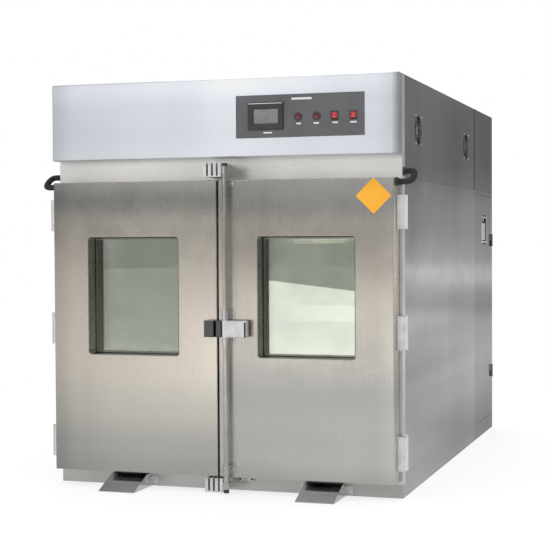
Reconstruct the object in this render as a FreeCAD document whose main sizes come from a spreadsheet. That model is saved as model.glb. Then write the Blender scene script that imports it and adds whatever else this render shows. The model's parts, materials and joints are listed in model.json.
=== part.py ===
import FreeCAD, Part
import math
import os
from types import SimpleNamespace

import Sketcher

# Trolley-loading laboratory oven: two insulated doors with a vertical locking rod, a circulating
# blower behind the chamber, a control hood above the doors and two loading ramps.
# X runs to the right, Y towards the back, Z up. The origin is the middle of the footprint.

# Driving dimensions, in millimetres and degrees.
SIZES = {
    # Cabinet
    "cabinet_width": 1368,
    "cabinet_depth": 2028,
    "cabinet_height": 1544,
    "sheet_metal": 2,
    "wall": 100,
    "seat_gap": 0.3,
    "running_gap": 0.05,
    "seam_gap": 2,
    # Base, chamber and air path
    "sill_height": 50,
    "rail_width": 50,
    "rail_metal": 4,
    "frame_depth": 40,
    "head_band": 142,
    "chamber_depth": 1410,
    "plenum_depth": 220,
    "duct_width": 70,
    "duct_setback": 60,
    "slot_width": 90,
    "slot_height": 12,
    "track_height": 12,
    "track_width": 145,
    "track_spacing": 774,
    "track_offset": 10,
    "heater_radius": 8,
    "heater_margin": 200,
    "heater_offset": 400,
    "heater_pitch": 40,
    "probe_radius": 4,
    "probe_length": 60,
    "probe_inset": 184,
    # Outer panels, measured back from the front of the cabinet
    "seam_rise": 60,
    "front_panel_end": 1190,
    "middle_panel_end": 1583,
    "upper_panel_end": 1512,
    "louvre_length": 160,
    "louvre_height": 8,
    "louvre_pitch": 24,
    # Hood and controls
    "hood_depth": 65,
    "hood_height": 292,
    "hood_corner": 5,
    "panel_left": 70,
    "panel_rise": 68,
    "panel_width": 491,
    "panel_height": 157,
    "panel_rim": 8,
    "panel_metal": 3,
    "bezel_width": 136,
    "bezel_height": 100,
    "bezel_depth": 9,
    "bezel_centre": 186,
    "screen_width": 96,
    "screen_height": 54,
    "control_rise": 74,
    "bezel_rise": 79,
    "lamp_first": 310,
    "lamp_pitch": 70,
    "lamp_radius": 15,
    "lamp_barrel": 11,
    "rocker_first": 448,
    "rocker_pitch": 70,
    "rocker_width": 20,
    "rocker_height": 23,
    "rocker_tilt": 8,
    "rocker_pin": 1.5,
    # Doors
    "door_inset": 12,
    "door_gap": 3,
    "door_depth": 80,
    "door_rise": 11,
    "door_lap": 57,
    "door_corner": 4,
    "meeting_gap": 6,
    "door_rim": 5,
    "plug_depth": 15,
    "plug_clearance": 6,
    "plug_inset": 11,
    "seal_width": 16,
    "window_centre": 342,
    "window_width": 368,
    "window_height": 445,
    "window_drop": 211,
    "window_corner": 10,
    "glass_depth": 65,
    "glass_metal": 5,
    # Hinges
    "hinge_height": 123,
    "hinge_foot": 106,
    "hinge_head": 124,
    "hinge_out": 10,
    "knuckle_radius": 9.5,
    "hinge_pin": 5,
    "cabinet_leaf": 50,
    "door_leaf": 40,
    "leaf_metal": 5,
    # Locking rod
    "rod_x": 40,
    "rod_out": 110,
    "rod_radius": 9.5,
    "rod_foot": 26,
    "rod_head": 24,
    "cam_height": 24,
    "cam_ring": 14,
    "cam_reach": 28,
    "cam_nose": 8,
    "top_cam_rise": 37,
    "bottom_cam_drop": 28,
    "keeper_height": 51,
    "keeper_left": 46,
    "keeper_finger": 12,
    "keeper_right": 24,
    "guide_width": 56,
    "guide_metal": 3,
    "guide_wall": 4,
    "lever_rise": 2,
    "lever_height": 64,
    "lever_reach": 88,
    "lever_depth": 18,
    "lever_metal": 4,
    "catch_height": 62,
    "catch_out": 36,
    "rest_left": 60,
    "rest_width": 53,
    "rest_height": 20,
    "rest_drop": 4,
    # Ramps
    "ramp_width": 145,
    "ramp_reach": 176,
    "ramp_flat": 52,
    # Side fans
    "fan_size": 120,
    "fan_depth": 38,
    "fan_throat": 57,
    "fan_hub": 21,
    "fan_rise": 147,
    "front_fan": 275,
    "rear_fan": 1292,
    "guard_wire": 3,
    # Blower
    "wheel_radius": 190,
    "eye_radius": 140,
    "wheel_depth": 64,
    "shaft_radius": 12,
    "shaft_hole": 25,
    "bearing_height": 112,
    "pedestal_width": 240,
    "motor_radius": 85,
    "motor_length": 230,
    # Exhaust and service door
    "exhaust_radius": 33,
    "spigot_radius": 31,
    "spigot_length": 60,
    "exhaust_metal": 2,
    "exhaust_x": 250,
    "exhaust_drop": 210,
    "exhaust_reach": 110,
    "service_border": 20,
    "service_depth": 18,
    "latch_inset": 244,
    "latch_drop": 185,
    "latch_width": 112,
    "latch_tall": 140,
    "latch_depth": 15,
    # Conduits
    "conduit_radius": 11,
    "conduit_run": 1,
    "conduit_setback": 20,
    "conduit_rise": 24,
    "conduit_drop": 15,
    "gland_length": 9,
    "gland_radius": 16,
}

AXES = {"X": FreeCAD.Vector(1, 0, 0), "Y": FreeCAD.Vector(0, 1, 0), "Z": FreeCAD.Vector(0, 0, 1)}
CUT_PAST = 5
BLADE_PITCH = 35
GUARD_RINGS = (0.45, 0.89)
TUBE_SIDES = 10

doc = FreeCAD.newDocument("TrolleyOven")
nodes = []
followers = []


class Dim:
    """A size that keeps its number and the sheet expression it comes from."""

    def __init__(self, value, text):
        self.value = float(value)
        self.text = text

    def __add__(self, other):
        return Dim(self.value + number(other), f"({self.text} + {words(other)})")

    def __sub__(self, other):
        return Dim(self.value - number(other), f"({self.text} - {words(other)})")

    def __mul__(self, other):
        return Dim(self.value * number(other), f"({self.text} * {words(other)})")

    def __truediv__(self, other):
        return Dim(self.value / number(other), f"({self.text} / {words(other)})")

    def __rsub__(self, other):
        return Dim(number(other) - self.value, f"({words(other)} - {self.text})")

    def __neg__(self):
        return Dim(-self.value, f"(0 - {self.text})")

    __radd__ = __add__
    __rmul__ = __mul__


ZERO = Dim(0, "0")


def number(size):
    return size.value if isinstance(size, Dim) else float(size)


def words(size):
    return size.text if isinstance(size, Dim) else f"({float(size)})"


def make_sheet():
    """Put the driving dimensions in a spreadsheet, one alias for each."""
    sheet = doc.addObject("Spreadsheet::Sheet", "Sizes")
    for row, (word, value) in enumerate(SIZES.items(), start=1):
        sheet.set(f"A{row}", word)
        sheet.set(f"B{row}", str(value))
        sheet.setAlias(f"B{row}", word)
    doc.recompute()


def derived(word, size):
    """Add a size that follows from others to the sheet, under its own name."""
    row = len(SIZES) + 2 + len(followers)
    followers.append(word)
    sheet = doc.getObject("Sizes")
    sheet.set(f"A{row}", word)
    sheet.set(f"B{row}", "=" + size.text.replace("Sizes.", ""))
    sheet.setAlias(f"B{row}", word)
    return Dim(size.value, f"Sizes.{word}")


def bind(item, **sizes):
    for name, size in sizes.items():
        item.setExpression(name, words(size))


def place(item, x, y, z):
    for letter, size in zip("xyz", (x, y, z)):
        item.setExpression(f"Placement.Base.{letter}", words(size))
    return item


def block(x, y, z, name="Block"):
    """A box given by its span along each axis."""
    item = doc.addObject("Part::Box", name)
    bind(item, Length=x[1] - x[0], Width=y[1] - y[0], Height=z[1] - z[0])
    return place(item, x[0], y[0], z[0])


def rod(axis, start, length, radius, name="Rod"):
    """A round bar that runs from start along the positive direction of an axis."""
    item = doc.addObject("Part::Cylinder", name)
    item.Placement = FreeCAD.Placement(FreeCAD.Vector(), FreeCAD.Rotation(AXES["Z"], AXES[axis]))
    bind(item, Radius=radius, Height=length)
    return place(item, *start)


def group(*items, name="Group"):
    item = doc.addObject("Part::Compound", name)
    item.Links = list(items)
    return item


def fuse(*items, name="Joined"):
    item = doc.addObject("Part::MultiFuse", name)
    item.Shapes = list(items)
    item.Refine = True
    return item


def cut(base, *tools, name="Cut"):
    item = doc.addObject("Part::Cut", name)
    item.Base = base
    item.Tool = tools[0] if len(tools) == 1 else fuse(*tools)
    return item


def mirrored(source, name="Mirrored"):
    """The same piece on the other side of the middle plane."""
    item = doc.addObject("Part::Mirroring", name)
    item.Source = source
    item.Normal = AXES["X"]
    return item


def rounded(source, radius, chosen, name="Rounded"):
    """Round the edges of a piece for which chosen(edge's middle, edge's direction) is true."""
    doc.recompute()
    item = doc.addObject("Part::Fillet", name)
    item.Base = source
    picked = []
    for index, edge in enumerate(source.Shape.Edges, start=1):
        if chosen(edge.CenterOfMass, edge.tangentAt(edge.FirstParameter)):
            picked.append((index, radius.value, radius.value))
    item.Edges = picked
    return item


def along(axis):
    """A test that is true for edges that run along an axis."""
    return lambda middle, way: abs(way.dot(AXES[axis])) > 0.999


def make_body(name):
    return doc.addObject("PartDesign::Body", name)


def outline(body, plane, corners, offset=0):
    """A closed sketch of straight runs, each corner held by two expressions."""
    sketch = body.newObject("Sketcher::SketchObject", "Outline")
    origin_plane = [item for item in body.Origin.OriginFeatures if item.Role == f"{plane}_Plane"][0]
    sketch.AttachmentSupport = [(origin_plane, "")]
    sketch.MapMode = "FlatFace"
    sketch.setExpression("AttachmentOffset.Base.z", words(offset))
    points = [FreeCAD.Vector(number(u), number(v), 0) for u, v in corners]
    for first, second in zip(points, points[1:] + points[:1]):
        sketch.addGeometry(Part.LineSegment(first, second), False)
    for index in range(len(points)):
        following = (index + 1) % len(points)
        sketch.addConstraint(Sketcher.Constraint("Coincident", index, 2, following, 1))
    for index, corner in enumerate(corners):
        for kind, size in zip(("DistanceX", "DistanceY"), corner):
            held = sketch.addConstraint(Sketcher.Constraint(kind, -1, 1, index, 1, number(size)))
            sketch.setExpression(f"Constraints[{held}]", words(size))
    return sketch


def padded(name, plane, corners, length, at=(0, 0, 0), both_ways=True):
    """A body padded from an outline, with its own origin at a place in the cabinet."""
    body = make_body(name)
    pad = body.newObject("PartDesign::Pad", "Pad")
    pad.Profile = outline(body, plane, corners)
    pad.Midplane = both_ways
    bind(pad, Length=length)
    place(body, *at)
    return body


def turned(name, corners, axis, at=(0, 0, 0), backwards=False):
    """A body turned from a half section (radius, distance along the axis)."""
    body = make_body(name)
    sketch = outline(body, "XZ", corners)
    turn = body.newObject("PartDesign::Revolution", "Turn")
    turn.Profile = sketch
    turn.ReferenceAxis = (sketch, ["V_Axis"])
    turn.Angle = 360
    way = -AXES[axis] if backwards else AXES[axis]
    body.Placement = FreeCAD.Placement(FreeCAD.Vector(), FreeCAD.Rotation(AXES["Z"], way))
    return place(body, *at)


def node(name, item):
    """Name a finished sub-part. Its label is also its file's name."""
    item.Label = name
    nodes.append(item)
    return item


def grow(span, margin):
    return (span[0] - margin, span[1] + margin)


def about(centre, size):
    return (centre - size / 2, centre + size / 2)


s = SimpleNamespace(**{word: Dim(value, f"Sizes.{word}") for word, value in SIZES.items()})
make_sheet()

half_width = s.cabinet_width / 2
inner_half = half_width - s.sheet_metal
front = -s.cabinet_depth / 2
back = s.cabinet_depth / 2
base_top = s.sill_height - s.sheet_metal
roof_under = s.cabinet_height - s.sheet_metal
chamber_half = half_width - s.wall
hood_bottom = derived("hood_bottom", s.cabinet_height - s.hood_height)
chamber_top = derived("chamber_top", hood_bottom - s.head_band)
chamber_height = chamber_top - s.sill_height
chamber_back = front + s.chamber_depth
baffle_y = chamber_back - s.plenum_depth
wool_top = chamber_top + s.wall - s.sheet_metal
wool_back = chamber_back + s.wall - s.sheet_metal
hood_face = front - s.hood_depth
panel_y = hood_face + s.sheet_metal
panel_bottom = hood_bottom + s.panel_rise
control_row = derived("control_row", panel_bottom + s.control_rise)
bezel_row = derived("bezel_row", panel_bottom + s.bezel_rise)
seam_height = derived("seam_height", chamber_top + s.seam_rise)
fan_height = derived("fan_height", wool_top + s.sheet_metal + s.fan_rise)
blower_height = derived("blower_height", s.sill_height + chamber_height / 2)
exhaust_height = derived("exhaust_height", chamber_top - s.exhaust_drop)
latch_height = derived("latch_height", seam_height - s.latch_drop)
door_back = front - s.door_gap
door_face = door_back - s.door_depth
door_bottom = derived("door_bottom", s.sill_height + s.door_rise)
door_top = derived("door_top", chamber_top + s.door_lap)
door_left = s.meeting_gap / 2
door_right = half_width - s.door_inset
hinge_x = half_width + s.hinge_out
hinge_y = front - s.door_gap / 2
rod_y = front - s.rod_out
window_x = about(s.window_centre, s.window_width)
window_z = (door_top - s.window_drop - s.window_height, door_top - s.window_drop)
top_cam = derived("top_cam", door_top + s.top_cam_rise)
bottom_cam = derived("bottom_cam", door_bottom - s.bottom_cam_drop)
lever_row = derived("lever_row", (door_bottom + door_top) / 2 + s.lever_rise)
full_x = (-half_width, half_width)


def bay_blocks(margin, low, high):
    """Blocks in the six bays between the base rails, grown by a margin on each side."""
    length = (s.cabinet_depth - 2 * s.sheet_metal - 4 * s.rail_width) / 3
    across = (s.rail_width / 2, inner_half - s.rail_width)
    blocks = []
    for row in range(3):
        start = front + s.sheet_metal + s.rail_width + row * (length + s.rail_width)
        depth = grow((start, start + length), margin)
        for x in (across, (-across[1], -across[0])):
            blocks.append(block(grow(x, margin), depth, (low, high), "Bay"))
    return blocks


def make_base():
    """Welded channel frame with a closed underside and six insulated bays."""
    outer_y = (front + s.sheet_metal, back - s.sheet_metal)
    outer = block((-inner_half, inner_half), outer_y, (0, base_top))
    above = base_top + CUT_PAST
    grooves = cut(
        block(grow((-inner_half, inner_half), -s.rail_metal), grow(outer_y, -s.rail_metal), (s.rail_metal, above)),
        *bay_blocks(s.rail_metal, 0, above + CUT_PAST),
    )
    bays = bay_blocks(0, s.sheet_metal, above)
    node("base_frame", cut(outer, grooves, *bays))


def make_plinth():
    """Front strip, sill and side returns folded from one sheet."""
    depth = (front, front + s.frame_depth)
    outer = block(full_x, depth, (0, s.sill_height))
    inside = block(
        (-inner_half, inner_half), (front + s.sheet_metal, depth[1] + CUT_PAST), (-CUT_PAST, base_top)
    )
    node("plinth_front", cut(outer, inside))


def make_front_frame():
    """Door frame folded round the chamber mouth, open at its back and behind the hood."""
    depth = (front, front + s.frame_depth)
    outer = block(full_x, depth, (s.sill_height, roof_under))
    mouth = block(
        (-chamber_half, chamber_half), grow(depth, CUT_PAST), (s.sill_height - CUT_PAST, chamber_top)
    )
    wiring = block(
        grow(full_x, -s.frame_depth), grow(depth, CUT_PAST), (hood_bottom + s.frame_depth / 2, roof_under + CUT_PAST)
    )
    behind = (front + s.sheet_metal, depth[1] + CUT_PAST)
    jamb = (chamber_half + s.sheet_metal, inner_half)
    low, high = s.sill_height + s.sheet_metal, roof_under + CUT_PAST
    head = block((-inner_half, inner_half), behind, (chamber_top + s.sheet_metal, high))
    sides = [block(x, behind, (low, high)) for x in (jamb, (-jamb[1], -jamb[0]))]
    node("front_frame", cut(outer, mouth, wiring, head, *sides))


def make_chamber():
    """Inner box, open to the front, with the shaft and exhaust holes in its back."""
    depth = (front + s.frame_depth, chamber_back + s.sheet_metal)
    across = (-chamber_half, chamber_half)
    outer = block(grow(across, s.sheet_metal), depth, (base_top, chamber_top + s.sheet_metal))
    inside = block(across, (depth[0] - CUT_PAST, chamber_back), (s.sill_height, chamber_top))
    holes = back_wall_holes(chamber_back - CUT_PAST, s.sheet_metal + 2 * CUT_PAST)
    node("chamber_liner", cut(outer, inside, *holes))


def back_wall_holes(start, length):
    shaft = rod("Y", (0, start, blower_height), length, s.shaft_hole)
    exhaust = rod("Y", (s.exhaust_x, start, exhaust_height), length, s.exhaust_radius + s.seat_gap)
    return [shaft, exhaust]


def make_insulation():
    """Mineral wool slabs in the floor bays, the walls, the roof and the back."""
    bays = bay_blocks(-s.seat_gap, s.sheet_metal, base_top - s.seat_gap)
    liner_out = chamber_half + s.sheet_metal
    depth = (front + s.frame_depth + s.seat_gap, chamber_back + s.sheet_metal)
    height = (base_top, wool_top)
    side = block((liner_out + s.seat_gap, inner_half - s.seat_gap), depth, height)
    roof = block((-liner_out, liner_out), depth, (chamber_top + s.sheet_metal, wool_top))
    rear_y = (chamber_back + s.sheet_metal + s.seat_gap, wool_back)
    rear = block(grow((-inner_half, inner_half), -s.seat_gap), rear_y, height)
    holes = back_wall_holes(rear_y[0] - CUT_PAST, s.wall + CUT_PAST)
    node("rockwool_slabs", group(*bays, side, mirrored(side), roof, cut(rear, *holes)))


def make_ducts():
    """Folded air duct along each side wall, its inner face pierced with rows of slots."""
    depth = (front + s.duct_setback, baffle_y + s.sheet_metal)
    height = (s.sill_height, chamber_top - s.seat_gap)
    inner = chamber_half - s.duct_width
    outer = block((inner, chamber_half), depth, height)
    hollow = block(
        (inner + s.sheet_metal, chamber_half + CUT_PAST), (depth[0] + s.sheet_metal, depth[1] + CUT_PAST),
        grow(height, CUT_PAST),
    )
    rows, columns = 6, 5
    row_pitch = chamber_height / (rows + 1)
    column_pitch = (s.chamber_depth - s.plenum_depth - s.duct_setback) / columns
    slots = []
    for row in range(rows):
        z = about(s.sill_height + (row + 1) * row_pitch, s.slot_height)
        for column in range(columns):
            y = about(depth[0] + (column + 0.5) * column_pitch, s.slot_width)
            slots.append(block(grow((inner, inner + s.sheet_metal), CUT_PAST / 2), y, z, "Slot"))
    duct = cut(outer, hollow, group(*slots))
    node("side_air_ducts", group(duct, mirrored(duct)))


def make_baffle():
    """Plate between the chamber and the blower, with an inlet ring and a cross guard."""
    inner = chamber_half - s.duct_width - s.seat_gap
    plate = block(
        (-inner, inner), (baffle_y, baffle_y + s.sheet_metal), (s.sill_height, chamber_top - s.seat_gap)
    )
    start = (0, baffle_y, blower_height)
    ring = rod("Y", start, s.frame_depth, s.eye_radius)
    eye = rod("Y", (0, baffle_y - CUT_PAST, blower_height), s.frame_depth + 2 * CUT_PAST,
              s.eye_radius - s.sheet_metal)
    opened = cut(fuse(plate, ring), eye)
    bar = about(ZERO, s.rail_metal)
    bars = [
        block(about(ZERO, 2 * s.eye_radius), (baffle_y, baffle_y + s.rail_metal), grow_at(blower_height, bar)),
        block(bar, (baffle_y, baffle_y + s.rail_metal), about(blower_height, 2 * s.eye_radius)),
    ]
    node("plenum_baffle", fuse(opened, *bars))


def grow_at(centre, span):
    return (centre + span[0], centre + span[1])


def make_heaters():
    """Two banks of upright heater tubes beside the wheel, each between two headers."""
    centre = baffle_y + s.plenum_depth / 2
    low, high = s.sill_height + s.heater_margin, chamber_top - s.heater_margin
    tubes = [
        rod("Z", (s.heater_offset, centre + step * s.heater_pitch, low), high - low, s.heater_radius)
        for step in (-1, 0, 1)
    ]
    across = about(s.heater_offset, s.heater_pitch)
    depth = (centre - 1.5 * s.heater_pitch, chamber_back)
    headers = [
        block(across, depth, (edge - s.heater_radius, edge + s.heater_radius)) for edge in (low, high)
    ]
    bank = fuse(*tubes, *headers)
    node("heater_bank", group(bank, mirrored(bank)))


def make_probe():
    """Temperature probe that hangs from the chamber roof near the air inlet."""
    spot = (s.probe_inset - chamber_half, baffle_y - s.frame_depth)
    stem = rod("Z", (*spot, chamber_top - s.probe_length), s.probe_length, s.probe_radius)
    flange = rod("Z", (*spot, chamber_top - s.probe_radius), s.probe_radius, 3 * s.probe_radius)
    node("temperature_probe", fuse(stem, flange))


def make_tracks():
    """Two shallow channels on the chamber floor, in line with the ramps."""
    depth = (front + s.frame_depth + s.seam_gap, baffle_y - s.seam_gap)
    tracks = []
    for side in (-1, 1):
        centre = s.track_offset + side * s.track_spacing / 2
        outer = block(
            about(centre, s.track_width + 2 * s.sheet_metal), depth, (s.sill_height, s.sill_height + s.track_height)
        )
        inside = block(
            about(centre, s.track_width), grow(depth, CUT_PAST),
            (s.sill_height + s.sheet_metal, s.sill_height + s.track_height + CUT_PAST),
        )
        tracks.append(cut(outer, inside))
    node("floor_tracks", group(*tracks))


def make_ramps():
    """Folded sheet ramps with triangular cheeks, from the floor up to the sill."""
    ramps = []
    for side in (-1, 1):
        centre = s.track_offset + side * s.track_spacing / 2
        tip, knee, root = -s.ramp_reach, -s.ramp_flat, -s.seat_gap
        high = s.sill_height
        skin = [
            (tip, 0), (tip + 4 * s.sheet_metal, 0), (knee, high - s.sheet_metal),
            (root, high - s.sheet_metal), (root, high), (knee, high), (tip, s.sheet_metal),
        ]
        plate = padded("Ramp", "YZ", skin, s.ramp_width, (centre, front, 0))
        cheek = [(tip + 4 * s.sheet_metal, 0), (root, 0), (root, high - s.sheet_metal), (knee, high - s.sheet_metal)]
        edge = (s.ramp_width - s.sheet_metal) / 2
        cheeks = [
            padded("Cheek", "YZ", cheek, s.sheet_metal, (centre + way * edge, front, 0)) for way in (-1, 1)
        ]
        foot = block(
            about(centre, s.ramp_width), (front - s.ramp_flat / 2, front - s.seat_gap), (0, s.sheet_metal)
        )
        ramps.append(fuse(plate, *cheeks, foot))
    node("loading_ramps", group(*ramps))


def side_sheet(start, end, low, high):
    return block((inner_half, half_width), (start, end), (low, high), "SidePanel")


def side_sheets():
    """The five sheets of one cabinet side, with the seams between them."""
    first = front + s.frame_depth + s.seat_gap
    last = back - s.sheet_metal
    low, high = seam_height, seam_height + s.seam_gap
    front_end = front + s.front_panel_end
    middle_end = front + s.middle_panel_end
    upper_end = front + s.upper_panel_end
    return SimpleNamespace(
        lower_front=side_sheet(first, front_end, 0, low),
        lower_middle=side_sheet(front_end + s.seam_gap, middle_end, 0, low),
        lower_rear=side_sheet(middle_end + s.seam_gap, last, 0, low),
        upper_front=side_sheet(first, upper_end, high, roof_under),
        upper_rear=side_sheet(upper_end + s.seam_gap, last, high, roof_under),
    )


def service_span(margin=0):
    """Span of the service opening along Y and Z, grown by a margin."""
    y = (front + s.middle_panel_end + s.seam_gap + s.service_border, back - s.sheet_metal - 2 * s.service_border)
    z = (s.sill_height + s.service_border, seam_height - s.service_border)
    return grow(y, margin), grow(z, margin)


def make_side_panels():
    right = side_sheets()
    fan_holes = [
        rod("X", (inner_half - CUT_PAST, front + y, fan_height), s.sheet_metal + 2 * CUT_PAST, s.fan_throat)
        for y in (s.front_fan, s.rear_fan)
    ]
    opening_y, opening_z = service_span()
    opening = block(grow((inner_half, half_width), CUT_PAST), opening_y, opening_z)
    service_frame = fuse(cut(right.lower_rear, opening), *[service_hinge(z)[0] for z in service_hinge_rows()])
    node("right_side_panels", group(
        right.lower_front, right.lower_middle, service_frame, cut(right.upper_front, group(*fan_holes)),
        right.upper_rear,
    ))
    left = side_sheets()
    louvres = [
        block(grow((inner_half, half_width), CUT_PAST), about(front + s.front_fan, s.louvre_length),
              about(fan_height + step * s.louvre_pitch, s.louvre_height))
        for step in range(-2, 3)
    ]
    left_side = group(
        left.lower_front, left.lower_middle, left.lower_rear, cut(left.upper_front, group(*louvres)),
        left.upper_rear,
    )
    node("left_side_panels", mirrored(left_side))


def service_hinge_rows():
    _, (low, high) = service_span()
    gap = (high - low) / 5
    return (low + gap, high - gap)


def service_hinge(row):
    """Lift-off hinge: the lower half with its pin, and the upper half that rides on it."""
    (_, rear), _ = service_span()
    radius, half = s.hinge_pin, s.service_border * 1.5
    spot = (half_width + radius, rear + s.seat_gap)
    low = row - half
    leaf_x = (half_width, half_width + s.seam_gap)
    lower = fuse(
        rod("Z", (*spot, low), half, radius),
        rod("Z", (*spot, row), half * 0.9, radius / 2),
        block(leaf_x, (spot[1], spot[1] + s.service_border), (low, row)),
    )
    upper = cut(
        fuse(
            rod("Z", (*spot, row + s.seat_gap), half, radius),
            block(leaf_x, (spot[1] - s.service_border, spot[1]), (row + s.seat_gap, row + s.seat_gap + half)),
        ),
        rod("Z", (*spot, row), 2 * half, radius / 2 + s.running_gap),
    )
    return lower, upper


def make_roof_and_rear():
    roof = block(full_x, (front, back), (roof_under, s.cabinet_height))
    node("roof_panel", roof)
    depth = (back - s.sheet_metal, back)
    sheet = block(full_x, depth, (0, roof_under))
    exhaust = rod(
        "Y", (s.exhaust_x, depth[0] - CUT_PAST, exhaust_height), s.sheet_metal + 2 * CUT_PAST,
        s.exhaust_radius + s.seat_gap,
    )
    vents = [
        block(about(ZERO, 2 * s.louvre_length), grow(depth, CUT_PAST),
              about(blower_height + step * s.louvre_pitch, s.louvre_height))
        for step in range(-4, 5)
    ]
    node("rear_panel", cut(sheet, exhaust, group(*vents)))


def make_hood():
    """Control hood with rounded front edges and a window for the control panel."""
    outer = rounded(
        block(full_x, (hood_face, front), (hood_bottom, s.cabinet_height)), s.hood_corner,
        lambda middle, way: middle.y < hood_face.value + 1,
    )
    inside = block(
        (-inner_half, inner_half), (panel_y, front + CUT_PAST),
        (hood_bottom + s.sheet_metal, s.cabinet_height - s.sheet_metal),
    )
    window = block(*panel_span(0, hood_face - CUT_PAST, panel_y + CUT_PAST))
    node("hood_shell", cut(outer, inside, window))


def panel_span(margin, y_low, y_high):
    x = grow((s.panel_left, s.panel_left + s.panel_width), margin)
    z = grow((panel_bottom, panel_bottom + s.panel_height), margin)
    return x, (y_low, y_high), z


def lamp_places():
    return [s.lamp_first + index * s.lamp_pitch for index in range(2)]


def rocker_places():
    return [s.rocker_first + index * s.rocker_pitch for index in range(2)]


def make_control_panel():
    """Dark plate behind the hood's window, pierced for the screen, lamps and switches."""
    depth = (panel_y, panel_y + s.panel_metal)
    plate = block(*panel_span(s.panel_rim, *depth))
    through = (depth[0] - CUT_PAST, depth[1] + CUT_PAST)
    screen = block(
        about(s.bezel_centre, s.bezel_width - 2 * s.panel_rim), through,
        about(bezel_row, s.bezel_height - 2 * s.panel_rim),
    )
    lamps = [
        rod("Y", (x, through[0], control_row), s.panel_metal + 2 * CUT_PAST, s.lamp_barrel + s.seat_gap)
        for x in lamp_places()
    ]
    wide, tall = rocker_body()
    switches = [
        block(about(x, wide + 2 * s.seat_gap), through, about(control_row, tall + 2 * s.seat_gap))
        for x in rocker_places()
    ]
    node("control_panel", cut(plate, screen, *lamps, *switches))


def make_screen():
    """Moulded bezel with a sloped mouth, and the glass set in it."""
    body = make_body("BezelBody")
    pad = body.newObject("PartDesign::Pad", "Frame")
    half_x, half_z = s.bezel_width / 2, s.bezel_height / 2
    pad.Profile = outline(body, "XZ", rectangle(half_x, half_z))
    bind(pad, Length=s.bezel_depth)
    neck = body.newObject("PartDesign::Pad", "Neck")
    inset = s.panel_rim + s.seat_gap
    neck.Profile = outline(body, "XZ", rectangle(half_x - inset, half_z - inset))
    neck.Reversed = True
    bind(neck, Length=s.service_border)
    window = body.newObject("PartDesign::Pocket", "Window")
    window.Profile = outline(body, "XZ", rectangle(s.screen_width / 2, s.screen_height / 2), s.bezel_depth)
    bind(window, Length=s.bezel_depth)
    doc.recompute()
    mouth = body.newObject("PartDesign::Chamfer", "Mouth")
    edges = [
        f"Edge{index}" for index, edge in enumerate(window.Shape.Edges, start=1)
        if edge.CenterOfMass.y < -s.bezel_depth.value + 0.01
    ]
    mouth.Base = (window, edges)
    bind(mouth, Size=s.panel_metal)
    place(body, s.bezel_centre, panel_y, bezel_row)
    node("screen_bezel", body)
    glass = block(
        grow(about(s.bezel_centre, s.screen_width), -s.seat_gap), (panel_y - s.sheet_metal, panel_y),
        grow(about(bezel_row, s.screen_height), -s.seat_gap),
    )
    node("screen_glass", glass)


def rectangle(half_x, half_y):
    return [(-half_x, -half_y), (half_x, -half_y), (half_x, half_y), (-half_x, half_y)]


def make_lamps():
    """Domed indicator lamps, each turned as one piece with its flange and barrel."""
    lens = s.lamp_barrel - s.panel_metal
    section = [
        (0, -s.service_border), (s.lamp_barrel, -s.service_border), (s.lamp_barrel, 0),
        (s.lamp_radius, 0), (s.lamp_radius, s.sheet_metal), (lens, s.panel_metal + 2), (0, s.panel_metal + 4),
    ]
    lamps = [
        turned("Lamp", section, "Y", (x, panel_y, control_row), backwards=True) for x in lamp_places()
    ]
    node("indicator_lamps", group(*lamps))


def rocker_body():
    """Width and height of a switch body, outside."""
    wall = 2 * s.sheet_metal
    return s.rocker_width + wall + 2 * s.seat_gap, s.rocker_height + wall + 2


def make_switches():
    """Two latching rockers on cross pins, each in a flanged housing."""
    wide, tall = rocker_body()
    pin = s.rocker_pin
    pivot_y = panel_y + s.sheet_metal
    housings = []
    for x in rocker_places():
        flange = block(about(x, wide + 3), (panel_y - s.sheet_metal, panel_y), about(control_row, tall + 3))
        shell = block(about(x, wide), (panel_y, panel_y + s.service_border), about(control_row, tall))
        hollow = block(
            about(x, wide - 2 * s.sheet_metal), (panel_y - s.sheet_metal - 1, panel_y + s.service_border - 2),
            about(control_row, tall - 2 * s.sheet_metal),
        )
        bore = rod("X", (x - wide / 2 - 1, pivot_y, control_row), wide + 2, pin + s.running_gap)
        housings.append(cut(fuse(flange, shell), hollow, bore))
    node("rocker_housings", group(*housings))
    names = ("power_rocker", "heat_rocker")
    half = s.rocker_height / 2 - 0.5
    section = [(-6, -half), (-3, 0), (-6, half), (3, half - 2), (6, 0), (3, 2 - half)]
    for name, x in zip(names, rocker_places()):
        cap = padded("Rocker", "YZ", section, s.rocker_width)
        axle = rod("X", (-wide / 2 + s.seat_gap, 0, 0), wide - 2 * s.seat_gap, pin)
        both = fuse(cap, axle)
        tilt = FreeCAD.Rotation(AXES["X"], -s.rocker_tilt.value)
        both.Placement = FreeCAD.Placement(FreeCAD.Vector(), tilt)
        node(name, place(both, x, pivot_y, control_row))


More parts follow.
